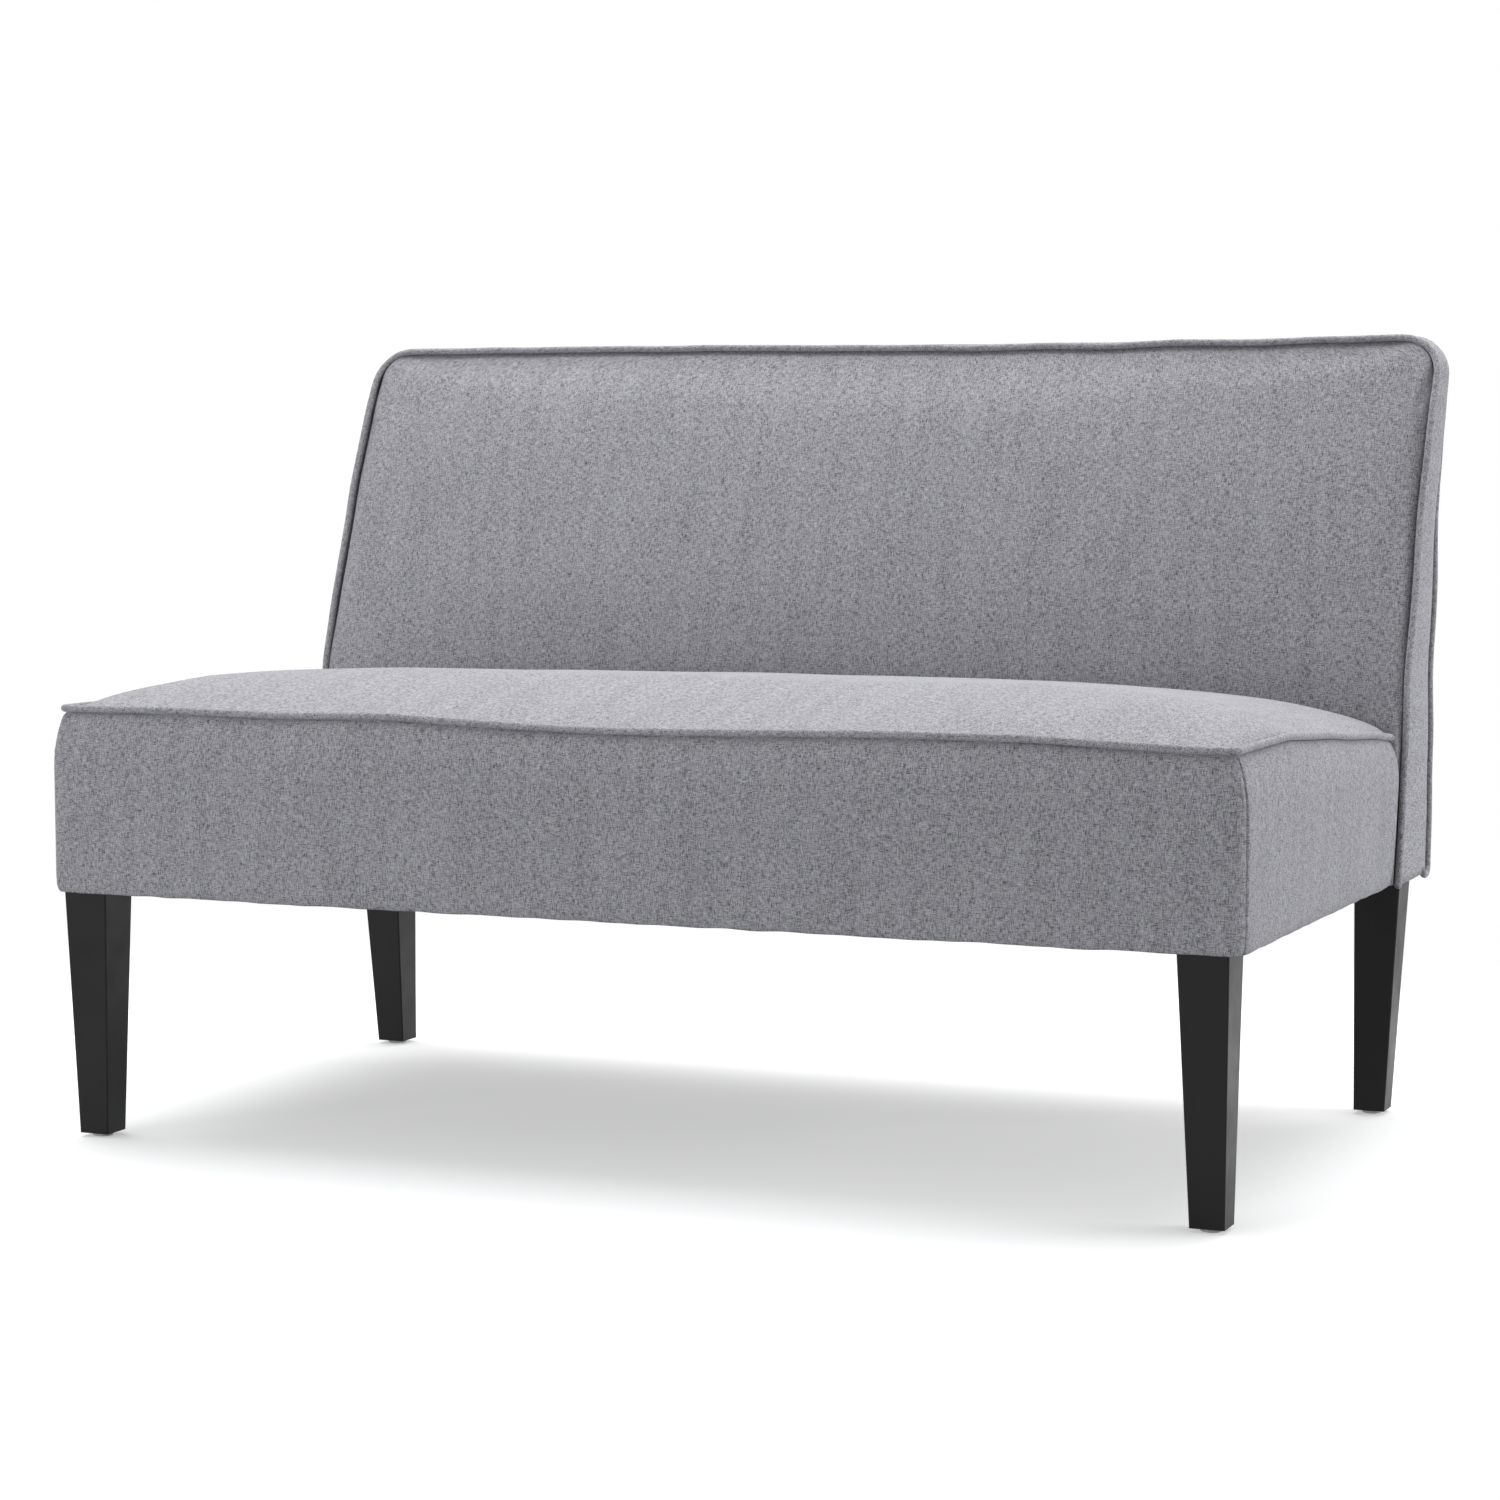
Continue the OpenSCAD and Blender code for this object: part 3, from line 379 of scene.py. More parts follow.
def round_box(s, out, height, held_back=0):
    """A point that lies s mm round the seat box from the middle of its front, out mm outside its edge"""
    a = np.abs(s)
    angle = np.clip((a - front_run) / corner_radius, 0, math.pi / 2)
    share = rise(a - front_run, arc_run, side_run)
    flare = widening * share ** 1.5 * (1 - 0.35 * np.exp(-np.maximum(0, height - 243) / 45))
    x = np.minimum(a, front_run) + (corner_radius + out) * np.sin(angle) + flare
    y = corner_radius - (corner_radius + out) * np.cos(angle)
    y = y + share * (back_face(height) - 1 - held_back - corner_radius)
    return np.stack([np.sign(s) * x, y, height + 0 * x], axis=-1)


def swell_of(share):
    """How far the boxing stands out at a share of its height: full from just over its hem, and drawn in
    under the welt"""
    lower = 3.5 * (1 - np.exp(-share / 0.022))
    return np.where(share < 0.7, lower, 3.5 - 10.75 * ((share - 0.7) / 0.3) ** 2)


wadding = fibre_web("bonded polyester wadding", "#d3d2cc", "#efeee9", 1)
wrap_s, wrap_z = np.meshgrid(np.linspace(-rear_at + 2, rear_at - 2, 241), np.linspace(251.5, 343.3, 15))
seam_gap = np.abs(np.abs(wrap_s) - seam_at)
wrap_out = swell_of((wrap_z - flange_height) / 168) - 3.8 - 2.6 * hump(seam_gap, 0, 7)
wrap_out += 0.8 * ripples(wrap_s, wrap_z, 30, 25, 4.2) - 1.2 * rise(wrap_z, 335, 8) ** 2
wrap_outer = round_box(wrap_s, wrap_out, wrap_z, 2)
wrap_inner = round_box(wrap_s, -8, wrap_z, 2)
wrap = sewn_form("seat_wrap", wrap_outer, wrap_inner, [], flat_size(wrap_outer))[0]
finish_cloth(wrap, wadding, subdivided=1)
stand_in(wrap, "wadding", "seat_wadding")


# Cover cloth. Every cover is cut from one plain-woven polyester with a linen look. Its yarns are spun from
# dark and pale grey fibres, which show as short flecks along both yarns, and its fuzz catches light
def woven_linen_look(name, turn):
    """Plain weave whose warp runs up the piece, or is turned for a strip that is cut on the bias"""
    # A real yarn is about 0.7 mm wide. It is drawn 1 mm wide, which is the finest that shows
    yarn = 1.0
    fleck = 6
    cloth, tree, shader = new_finish(name)
    flat = add(tree, "UVMap", uv_map="cloth")
    rotation = (0, 0, turn)
    yarns = add(tree, "Mapping",
                {"Vector": flat, "Scale": (1000 / yarn, 1000 / yarn, 1), "Rotation": rotation})
    way = add(tree, "SeparateXYZ", {0: yarns}).outputs
    numbers = []
    tones = []
    for across, along, spacing, moved in ((way[0], way[1], 7.31, (0, 0, 0)),
                                          (way[1], way[0], 5.77, (90, 40, 0))):
        number = add(tree, "Math", {0: across}, operation="FLOOR")
        on_yarn = add(tree, "CombineXYZ", {0: number, 1: along})
        placed = add(tree, "Mapping",
                     {"Vector": on_yarn, "Scale": (spacing, yarn / fleck, 1), "Location": moved})
        numbers.append(number)
        tones.append(add(tree, "TexNoise", {"Vector": placed, "Scale": 1, "Detail": 1, "Roughness": 0.6},
                         noise_dimensions="2D"))
    crossing = add(tree, "Math", {0: numbers[0], 1: numbers[1]}, operation="ADD")
    over = add(tree, "Math", {0: crossing, 1: 2}, operation="FLOORED_MODULO")
    tone = add(tree, "Mix", {0: over, 2: tones[0], 3: tones[1]})
    shade = add(tree, "Math", {0: tone, 1: 0.5}, operation="MULTIPLY")
    # Whole groups of warp yarns are a little paler or darker, in bands about 15 mm wide. Slubs, the thicker
    # darker stretches of warp and of weft, are 0.9 mm wide and 5 to 6 mm long
    for scale, weight in (((65, 7, 1), 0.07), ((1150, 170, 1), 0.36), ((210, 1150, 1), 0.28)):
        placed = add(tree, "Mapping", {"Vector": flat, "Scale": scale, "Rotation": rotation})
        marks = add(tree, "TexNoise", {"Vector": placed, "Scale": 1, "Detail": 2}, noise_dimensions="2D")
        shade = add(tree, "Math", {0: marks, 1: weight, 2: shade}, operation="MULTIPLY_ADD")
    shades = add(tree, "ValToRGB", {0: shade})
    steps = shades.color_ramp.elements
    steps[0].position, steps[0].color = 0.42, colour("#47474c")
    steps[1].position, steps[1].color = 0.80, colour("#b7b7bc")
    steps.new(0.60).color = colour("#919196")
    relief = add(tree, "Bump", {"Height": tone, "Strength": 0.5, "Distance": 0.0006})
    plug(tree, shader, {"Base Color": shades, "Normal": relief, "Roughness": 0.9, "Specular IOR Level": 0.25,
                        "Sheen Weight": 0.25, "Sheen Roughness": 0.45, "Sheen Tint": colour("#dadade")})
    return cloth


cover_cloth = woven_linen_look("grey linen-look polyester, plain woven", 0)
bias_cloth = woven_linen_look("grey linen-look polyester, cut on the bias", math.pi / 4)


# Seat cushion. A fire-retardant foam slab on the springs, under a cover that is sewn to the welt along its
# front and sides and pulled down behind against the back. It is crowned, with full corners
welt_radius = 3.5
cushion_inset = 11.8
cushion_half = seat_half - cushion_inset

# The height of the seat welt: it wavers along the front, as hand-sewn piping does, and falls to the back
front_marks = [-640, -597, -458, -340, -235, -75, 16, 102, 264, 405, 541, 597, 640]
front_waves = [2, 2, 3, 1.5, 4, -2, -3, -1.5, 2, 2, -3, -3.5, -3.5]
wave_line = np.arange(-640, 641)
wave_heights = np.convolve(np.pad(np.interp(wave_line, front_marks, front_waves), 35, mode="edge"),
                           np.hanning(71) / np.hanning(71).sum(), mode="valid")


def side_wave(y):
    return 1.6 * ripples(y, 0, 85, 1, math.pi) * (1 - hump(y, 0, 80))


def welt_wave(x, y):
    return np.interp(x, wave_line, wave_heights) * hump(y, 0, 150) + side_wave(y)


def welt_height(y):
    fall = np.maximum(0, y / seat_depth - 0.29) / 0.71
    return 421 - 30 * fall ** 1.25 - 2.2 * hump(y, 290, 130)


def stuff(piece, rim, loose, most):
    """Presses the filling out against the loose points of the cover: a cloth simulation that holds the seams
    and the points behind, and moves no point by more than most, in mm"""
    free = np.zeros(len(piece.data.vertices), dtype=bool)
    free[:loose.size] = loose.ravel()
    free[rim] = False
    held = piece.vertex_groups.new(name="seams")
    held.add([int(i) for i in np.flatnonzero(~free)], 1, "REPLACE")
    sewn = piece.modifiers.new("stuffing", "CLOTH")
    for setting, value in (("quality", 4), ("mass", 0.3), ("tension_stiffness", 15),
                           ("compression_stiffness", 15), ("bending_stiffness", 0.5), ("use_pressure", True),
                           ("uniform_pressure_force", 4), ("vertex_group_mass", "seams")):
        setattr(sewn.settings, setting, value)
    sewn.settings.effector_weights.gravity = 0
    sewn.point_cache.frame_start = 1
    sewn.point_cache.frame_end = 20
    before = np.zeros(len(piece.data.vertices) * 3)
    piece.data.vertices.foreach_get("co", before)
    for step in range(1, 21):
        bpy.context.scene.frame_set(step)
    seen = piece.evaluated_get(bpy.context.evaluated_depsgraph_get())
    after = np.zeros_like(before)
    seen.data.vertices.foreach_get("co", after)
    bpy.context.scene.frame_set(1)
    piece.modifiers.remove(sewn)
    moved = (after - before).reshape(-1, 3)
    far = np.linalg.norm(moved, axis=1)[:, None]
    moved *= np.minimum(1, most / 1000 / np.maximum(far, 1e-9))
    piece.data.vertices.foreach_set("co", (before.reshape(-1, 3) + moved).ravel())
    piece.data.update()


def crowned(x, y, crown, gain):
    """How far the cushion's top stands over the welt. It is crowned, and its two ends fall a little
    differently to the seam"""
    share = np.clip(x / cushion_half, -1, 1)
    power = np.where(share < 0, 3.08, 3.93)
    fullness = np.where(share < 0, 0.40, 0.56)
    side = 1 - (1 - np.abs(share) ** power) ** fullness
    ahead = (1 - np.minimum(1, (y - cushion_inset) / 273)) ** 2.4
    return (crown + gain * y / seat_depth) * np.maximum(0, 1 - (side ** 4 + ahead ** 4) ** 0.25)


crown_height = 40.3
crown_gain = 6.3
spread = np.linspace(-1, 1, 151)
columns_x = cushion_half * spread * (1.3 - 0.3 * spread ** 2)
rows_y = cushion_inset + (seat_depth - 12.3) * np.linspace(0, 1, 71) ** 1.2
top_x, top_y = np.meshgrid(columns_x, rows_y)
full_x = top_x * (1 + widening / seat_half * (top_y / seat_depth) ** 1.5)
room_to_swell = 3
top_z = welt_height(top_y) + crowned(top_x, top_y, crown_height - room_to_swell, crown_gain)
to_seam = np.minimum(cushion_half - np.abs(top_x), top_y - cushion_inset)
top_z += np.interp(top_x, wave_line, wave_heights) * hump(top_y, 0, 110)
top_z += side_wave(top_y) * hump(to_seam, 0, 45)
top_z += rise(to_seam, 0, 60) * (2.2 * ripples(top_x, top_y, 190, 150, 2.7)
                                 + 0.5 * ripples(top_x, top_y, 60, 70, 4.1))
pucker = np.sin(math.pi * rise(top_y, cushion_inset, 45)) * rise(seat_half - 40 - np.abs(top_x), 0, 60)
top_z += 0.7 * pucker * ripples(top_x, top_y, 16, 90, 9.3)
top_y = top_y + rise(top_y - seat_depth, -40, 40) * (back_face(top_z) - seat_depth)
cushion_top = np.stack([full_x, top_y, top_z], axis=2)
low_z = 353.5 + 12 * np.maximum(0, 1 - ((top_y - 270) / 260) ** 2)
low_y = np.minimum(11 + (top_y - cushion_inset) * 0.985, back_face(low_z) - 2.5)
cushion_low = np.stack([full_x * 1.008, low_y, low_z], axis=2)


def cushion_side(share, out):
    high, low = rim_of(cushion_top), rim_of(cushion_low)
    ring = high + (low - high) * share
    ring[:, 0] *= 1 + out / seat_half
    ring[:, 1] = np.where(ring[:, 1] < 100, ring[:, 1] - out, ring[:, 1])
    ring[:, 1] = np.minimum(ring[:, 1], back_face(ring[:, 2]) - 2)
    return ring


cushion_flat = np.stack([top_x, flat_size(cushion_top)[..., 1]], axis=2)
cushion_rings = [cushion_side(0.12, 0.5), cushion_side(0.4, 8), cushion_side(0.8, 9)]
cushion, rim = sewn_form("seat_cushion", cushion_top, cushion_low, cushion_rings, cushion_flat)
stuff(cushion, rim, np.ones(top_x.size, dtype=bool), room_to_swell)
finish_cloth(cushion, cover_cloth, subdivided=1)
stand_in(cushion, "grey_upholstery", "seat_top_cover", "seat_foam")


# Seat boxing. The front and the two sides of the seat box are separate panels, sewn together in a seam at
# each front corner. They bulge over the wadding, are drawn in under the welt, and turn under the rails
hem_height = 243.4
cover_thickness = 1.4


def boxing(name, node, s, seams, rear_end):
    steps = np.concatenate([[0, 0.006, 0.014, 0.024, 0.04], np.linspace(0.07, 0.94, 25),
                            [0.955, 0.97, 0.98, 0.99, 1]])
    s, share = np.meshgrid(s, steps)
    there = round_box(s, 0, 300)
    seam_height = welt_height(there[..., 1]) + welt_wave(there[..., 0], there[..., 1]) - welt_radius - 0.2
    hem = hem_height + 2.2 * rise(there[..., 1], 0, 500)
    height = hem + share * (seam_height - hem)
    seam_gap = np.min([np.abs(s - at) for at in seams], axis=0)
    # The corner seams draw the cloth in. Away from them it has short creases under the welt, and wide and
    # narrow waves lower down
    away = 1 - hump(seam_gap, 0, 30)
    arch = np.sin(math.pi * share)
    out = swell_of(share) - 0.4 - 2.5 * rise(share, 0.965, 0.035) ** 2
    out -= 1.7 * hump(seam_gap, 0, 1.2) + 0.3 * hump(seam_gap, 0, 6)
    out += away * 1.1 * ripples(s, share, 15, 0.5, 3.3) * hump(share, 1, 0.16) * (1 - share) ** 0.25
    out += away * 0.9 * ripples(s, share, 70, 0.6, 7.9) * arch
    out += away * 0.35 * ripples(s, share, 21, 1.4, 1.7) * arch
    height = height + 0.9 * ripples(s, 0, 27, 1, 5.5) * (1 - rise(share, 0, 0.1))
    held = 0
    if rear_end:
        held = 7 * rise(share, 0.88, 0.12) ** 2
        out -= 2.5 * hump(np.abs(s), rear_at, 4)
        out += 0.5 * ripples(s, share, 17, 0.9, 12.1) * arch
    # The strip that is turned in just under the rails, from its cut edge out to the hem
    turned = [round_box(s[:1], -back, np.minimum(hem[:1] + lift, hem_height + 2.9))
              for back, lift in ((13, 2.9), (9, 2.8), (5, 2.7), (3, 2.4), (1.6, 1.1))]
    piece, cut = laid_grid(name, np.concatenate([*turned, round_box(s, out, height, held)]))
    finish_cloth(piece, cover_cloth, thickness=cover_thickness)
    stand_in(piece, "grey_upholstery", node)


close_up = np.array([0, 0.5, 1.1, 1.8, 2.8, 4.5, 7.5, 11.5, 16, 21])
front_line = np.concatenate([-seam_at + close_up, np.arange(-seam_at + 27, seam_at - 26, 5.5),
                             (seam_at - close_up)[::-1]])
boxing("seat_front_panel", "seat_front_boxing", front_line, (-seam_at, seam_at), False)
side_line = np.concatenate([seam_at + close_up, np.arange(seam_at + 27, rear_at - 14, 5.5),
                            rear_at - np.array([11, 8, 5.5, 3.5, 1.8, 0])])
boxing("seat_right_panel", "seat_right_boxing", side_line, (seam_at,), True)
boxing("seat_left_panel", "seat_left_boxing", -side_line[::-1], (-seam_at,), True)


# Seat welt. A round cord wrapped in a bias strip of the cover cloth and sewn between the cushion's cover
# and the boxing. It lies proud of both, wavers a little, and its ends are tucked down into the back
welt_inset = 8
welt_sides = 14


def welt(name, node, path):
    path = np.asarray(path, float)
    along = np.gradient(path, axis=0)
    along /= np.linalg.norm(along, axis=1)[:, None]
    side = np.cross(along[0], [0.3, 0.2, 1])
    distance = np.concatenate([[0], np.cumsum(np.linalg.norm(np.diff(path, axis=0), axis=1))])
    turns = 2 * math.pi * np.arange(welt_sides + 1) / welt_sides
    rings = []
    for k, way in enumerate(along):
        side = side - way * side.dot(way)
        side /= np.linalg.norm(side)
        other = np.cross(way, side)
        swell = welt_radius * (1 + 0.04 * noise.noise(Vector((distance[k] / 22, 3.1, 0.4))))
        rings.append(path[k] + swell * (np.cos(turns)[:, None] * side + np.sin(turns)[:, None] * other))
    ends = []
    for middle, ring, way in ((path[0], rings[0], -along[0]), (path[-1], rings[-1], along[-1])):
        ends.append([middle + (ring - middle) * math.cos(a) + way * welt_radius * 0.8 * math.sin(a)
                     for a in np.radians([25, 50, 72, 89.5])])
    piece = laid_grid(name, np.array([*ends[0][::-1], *rings, *ends[1]]))[0]
    bpy.ops.object.mode_set(mode="EDIT")
    bpy.ops.mesh.select_all(action="SELECT")
    bpy.ops.mesh.remove_doubles(threshold=0.00008)
    bpy.ops.mesh.normals_make_consistent(inside=False)
    bpy.ops.object.mode_set(mode="OBJECT")
    finish_cloth(piece, bias_cloth)
    stand_in(piece, "grey_upholstery", node)


welt_s = np.linspace(-rear_at + 3, rear_at - 3, 499)
level = round_box(welt_s, -welt_inset, 420)
welt_z = welt_height(level[:, 1]) + welt_wave(level[:, 0], level[:, 1])
welt_place = round_box(welt_s, -welt_inset + 0.5 * ripples(welt_s, 0, 40, 1, 8.8), welt_z)
tuck = np.array([[-0.2, 2, -0.6], [-0.8, 3.6, -2.2], [-2, 4.4, -4.4], [-4, 4.6, -7]])
left_tuck = (welt_place[0] + tuck * [-1, 1, 1])[::-1]
welt("seat_piping", "seat_welt", np.concatenate([left_tuck, welt_place, welt_place[-1] + tuck]))


# Inside back. One cover from the underside to the top welt over thin foam and webbing. It swells a little
# between its seams, and below the seat it only shows as a strip beside the seat box
back_half = 609
back_depth = 123
# The back's upper corners are arcs round a middle that lies this far out and up
back_corner = 38
arc_x = back_half - back_corner
arc_z = back_top - back_corner
# The covers of the back are sewn this far inside its outline
seam_inset = 2.6
seam_corner = back_corner - seam_inset


def back_rear(height):
    """How far the rear of the back lies behind the seat's front. The back thins towards its top"""
    share = (height - seat_line) / (back_top - seat_line)
    start, end = lean(15.5) - lean(6), lean(26) - lean(14)
    thickness = back_depth - (height - seat_line) * (start + (end - start) * share / 2)
    return np.where(height < seat_line, seat_depth + back_depth, back_face(height) + thickness)


def shaped(points):
    """Moves points of the back with its uneven outline: the top sags a little, its sides waver, and its
    upper corners stand out, less so towards the rear"""
    points = np.asarray(points, float)
    x, height = points[..., 0], points[..., 2]
    behind = rise(points[..., 1], back_face(height), 40)
    sag = -4.2 * hump(x, 150, 290) + 1.5 * ripples(x, 0, 75, 1, 6.1) - 0.6
    sag += 1.6 * hump(x, 565, 32) - 0.9 * hump(x, 475, 50)
    waver = 1.5 * ripples(height, np.sign(x) * 40, 70, 1, 2.2) + np.sign(x) * 2 * rise(700 - height, 0, 200)
    stand_out = (4 - 3.2 * behind * (x < 0)) * rise(height, 640, 110)
    moved = points.copy()
    moved[..., 2] += rise(height, 640, 140) ** 2 * sag * (1 - 0.55 * behind)
    moved[..., 0] += rise(np.abs(x), 460, 140) ** 2 * (waver + stand_out)
    return moved


def set_back(height):
    """How far the front welt of the back lies behind its face"""
    return 7.5 * rise(720 - height, 0, 120)


def half_width(height):
    """Half the width of a cover of the back between its seams"""
    up = np.clip(height - arc_z, 0, seam_corner)
    return arc_x + np.sqrt(np.maximum(seam_corner ** 2 - up ** 2, 0))


spread = np.linspace(-1, 1, 161)
corner_z = arc_z + seam_corner * np.sin(np.radians(np.linspace(6, 90, 12)))
row_z = np.concatenate([np.linspace(flange_height, 437, 14), np.linspace(441.5, arc_z, 38), corner_z])
share_grid, z_grid = np.meshgrid(spread * (1.42 - 0.42 * spread ** 2), row_z)
x_grid = share_grid * half_width(z_grid)
above = rise(z_grid, seat_line, 60)
from_side = back_half - np.abs(x_grid)
from_top = back_top - z_grid
from_seam = np.minimum(from_side, from_top)
room_to_swell = 2.5
swell = np.sin(math.pi * rise(z_grid, seat_line, back_top - 3.8 - seat_line) ** 0.85) ** 0.6
swell = (16 - room_to_swell) * swell * np.maximum(0, 1 - np.abs(share_grid) ** 3.2) ** 0.6
face_y = back_face(z_grid) - swell
# The filling is uneven between the seams, and the cloth has short creases along its top and side seams
face_y += rise(from_seam, 0, 90) * above * (2.0 * ripples(x_grid, z_grid, 230, 130, 3.9)
                                            + 0.5 * ripples(x_grid, z_grid, 70, 110, 6.6))
face_y += 0.7 * above * ripples(x_grid, z_grid, 17, 70, 8.1) * hump(from_top, 20, 22)
face_y += 0.6 * above * ripples(x_grid, z_grid, 70, 19, 1.1) * hump(from_side, 20, 22)
crease = above * hump(from_seam, seam_inset, 2.4)
# Beside the seat box the cover turns in to the welt more sharply than above it
reach = 1.6 + 7.4 * rise(z_grid, 380, 80)
face_y += 6 * crease + set_back(z_grid) * hump(from_seam, seam_inset, reach)
back_front = shaped(np.stack([x_grid, face_y, z_grid], axis=2))
behind_y = back_face(z_grid) + 1.9 + foam_depth(z_grid) + 4 * crease
back_behind = shaped(np.stack([x_grid, behind_y, z_grid], axis=2))
inside_back, rim = sewn_form("inside_back", back_front, back_behind, [], flat_size(back_front))
stuff(inside_back, rim, z_grid > seat_line + 2, room_to_swell)
finish_cloth(inside_back, cover_cloth, subdivided=1)
stand_in(inside_back, "grey_upholstery", "inside_back_cover", "back_foam")

# Boxing band of the back. One long strip between the two welts, up one side, over the top and down the
# other, stapled under the posts at its ends. It is wide at the seat and narrow at the top
side_z = np.arange(flange_height, arc_z - 3, 6.5)
turn = np.radians(np.linspace(0, 90, 10))
right_x = np.concatenate([np.full_like(side_z, back_half), arc_x + back_corner * np.cos(turn)])
right_z = np.concatenate([side_z, arc_z + back_corner * np.sin(turn)])
over_x = np.arange(arc_x - 6, -arc_x + 5, -6.5)
band_x = np.concatenate([right_x, over_x, -right_x[::-1]])
band_z = np.concatenate([right_z, np.full_like(over_x, back_top), right_z[::-1]])
band_line = np.stack([band_x, band_z], axis=1)
band_out = np.gradient(band_line, axis=0)[:, ::-1] * [1, -1]
band_out /= np.linalg.norm(band_out, axis=1)[:, None]
band_along = np.concatenate([[0], np.cumsum(np.linalg.norm(np.diff(band_line, axis=0), axis=1))])
# 1 along the upper corners, where the filling is packed fuller, and 0 lower down and over the top
full_corner = rise(np.abs(band_x), 580, 25) * rise(band_z, 540, 130)
front_y = back_face(band_z) + 3.2 + set_back(band_z)
rear_y = back_rear(band_z) - 6.4
band_rows = []
for share in np.concatenate([[0, 0.03, 0.07], np.linspace(0.13, 0.87, 11), [0.93, 0.97, 1]]):
    arch = math.sin(math.pi * share)
    bulge = 2.6 * arch ** 0.6 - 0.9 + 1.2 * (1 - share) ** 3 - 0.8 * share ** 6
    bulge = bulge + full_corner * 3.6 * math.sin(math.pi * share ** 1.8) ** 0.8
    bulge = bulge + 0.8 * arch * ripples(band_along, share, 24, 1.2, 4.4)
    bulge = bulge + 0.7 * arch * ripples(band_along, share, 90, 2, 1.9)
    place = band_line + band_out * bulge[:, None]
    band_rows.append(np.stack([place[:, 0], front_y + share * (rear_y - front_y), place[:, 1]], axis=1))
band_points = np.array(band_rows)
ends = []
for back, lift in ((13, 0.2), (8, 0.1), (3, 0)):
    end = band_points[:, :1].copy()
    end[..., 0] -= back
    end[..., 2] = flange_height + lift
    ends.append(end)
left_ends = [end * [-1, 1, 1] for end in ends[::-1]]
band_points = shaped(band_points)
# Pulled tight over the frame, the band is nowhere inside the wood
beyond = np.maximum(np.abs(band_points[..., 0]) - arc_x, 0)
over = np.maximum(band_points[..., 2] - arc_z, 0)
off_wood = np.maximum(1, seam_corner / np.hypot(beyond, over)) - 1
band_points[..., 0] += np.sign(band_points[..., 0]) * beyond * off_wood
band_points[..., 2] += over * off_wood
band_points = np.concatenate([*map(shaped, ends), band_points, *map(shaped, left_ends)], axis=1)
band, band_cut = laid_grid("back_band", band_points)
bpy.ops.object.mode_set(mode="EDIT")
bpy.ops.mesh.select_all(action="SELECT")
bpy.ops.mesh.flip_normals()
bpy.ops.object.mode_set(mode="OBJECT")
finish_cloth(band, cover_cloth, thickness=cover_thickness)
stand_in(band, "grey_upholstery", "back_boxing")

# Welts of the back. The same piping runs along both edges of the band. The front one ends under the post,
# and the rear one curls forward under the band at each lower corner, where it was stapled and cut off
front_x = band_x + 1.5 * rise(np.abs(band_x), 560, 40) * np.sign(band_x)
front_y = back_face(band_z) + 0.5 + set_back(band_z)
welt("back_front_piping", "back_front_welt", shaped(np.stack([front_x, front_y, band_z], axis=1)))
rear_line = band_line - (0.4 + 1.6 * full_corner[:, None]) * band_out
rear_path = np.stack([rear_line[:, 0], back_rear(rear_line[:, 1]) - welt_radius, rear_line[:, 1]], axis=1)
rear_path = rear_path[1:-1]
curl = np.radians(np.linspace(15, 150, 9))
curl_points = np.stack([0.6 * (1 - np.cos(curl)), -14 * (1 - np.cos(curl)), -9 * np.sin(curl)], axis=1)
right_curl = (rear_path[0] + curl_points)[::-1]
left_curl = rear_path[-1] + curl_points * [-1, 1, 1]
welt("back_rear_piping", "back_rear_welt", shaped(np.concatenate([right_curl, rear_path, left_curl])))

# Outside back. A flat panel over a thin board, blind stitched to the rear welt round its sides and top and
# stapled under the rear sill
panel_rows = np.concatenate([np.linspace(flange_height, arc_z, 50), corner_z])
panel_share, panel_z = np.meshgrid(np.linspace(-1, 1, 120), panel_rows)
panel_x = panel_share * half_width(panel_z)
panel_seam = np.minimum(back_half - np.abs(panel_x), back_top - panel_z)
panel_y = back_rear(panel_z) - 2.4 + 1.2 * (1 - rise(panel_seam, 0, 8)) ** 2
panel_y -= rise(panel_seam, 0, 80) * 0.9 * ripples(panel_x, panel_z, 260, 160, 9.9)
panel_y -= 0.4 * ripples(panel_x, panel_z, 18, 60, 2.9) * hump(back_top - panel_z, 16, 18)
panel_points = shaped(np.stack([panel_x, panel_y, panel_z], axis=2))[:, ::-1]
outside, outside_cut = laid_grid("outside_back_panel", panel_points)
finish_cloth(outside, cover_cloth, thickness=cover_thickness)
stand_in(outside, "grey_upholstery", "outside_back_cover")

# Seat lining. Black non-woven cloth closes the rear of the seat behind its foam. It runs from the rear rail
# up to the cover, and only shows when the back is off
nonwoven = fibre_web("spun-bonded black polypropylene", "#101012", "#2a2a2d", 0.8, 1.6)
lining_foot = 247.8
lining_x, lining_share = np.meshgrid(np.linspace(585, -585, 79), np.linspace(0, 1, 15))
crown_end = crowned(lining_x, np.full_like(lining_x, seat_depth), crown_height, crown_gain)
lining_z = lining_foot + lining_share * (welt_height(seat_depth) + crown_end - 4.5 - lining_foot)
lining_y = back_face(lining_z) - 0.4 - 0.3 * np.abs(ripples(lining_x, lining_z, 60, 40, 5.2))
lining, lining_cut = laid_grid("seat_lining", np.stack([lining_x, lining_y, lining_z], axis=2))
finish_cloth(lining, nonwoven, thickness=0.8)
stand_in(lining, "black_lining", "seat_rear_lining")

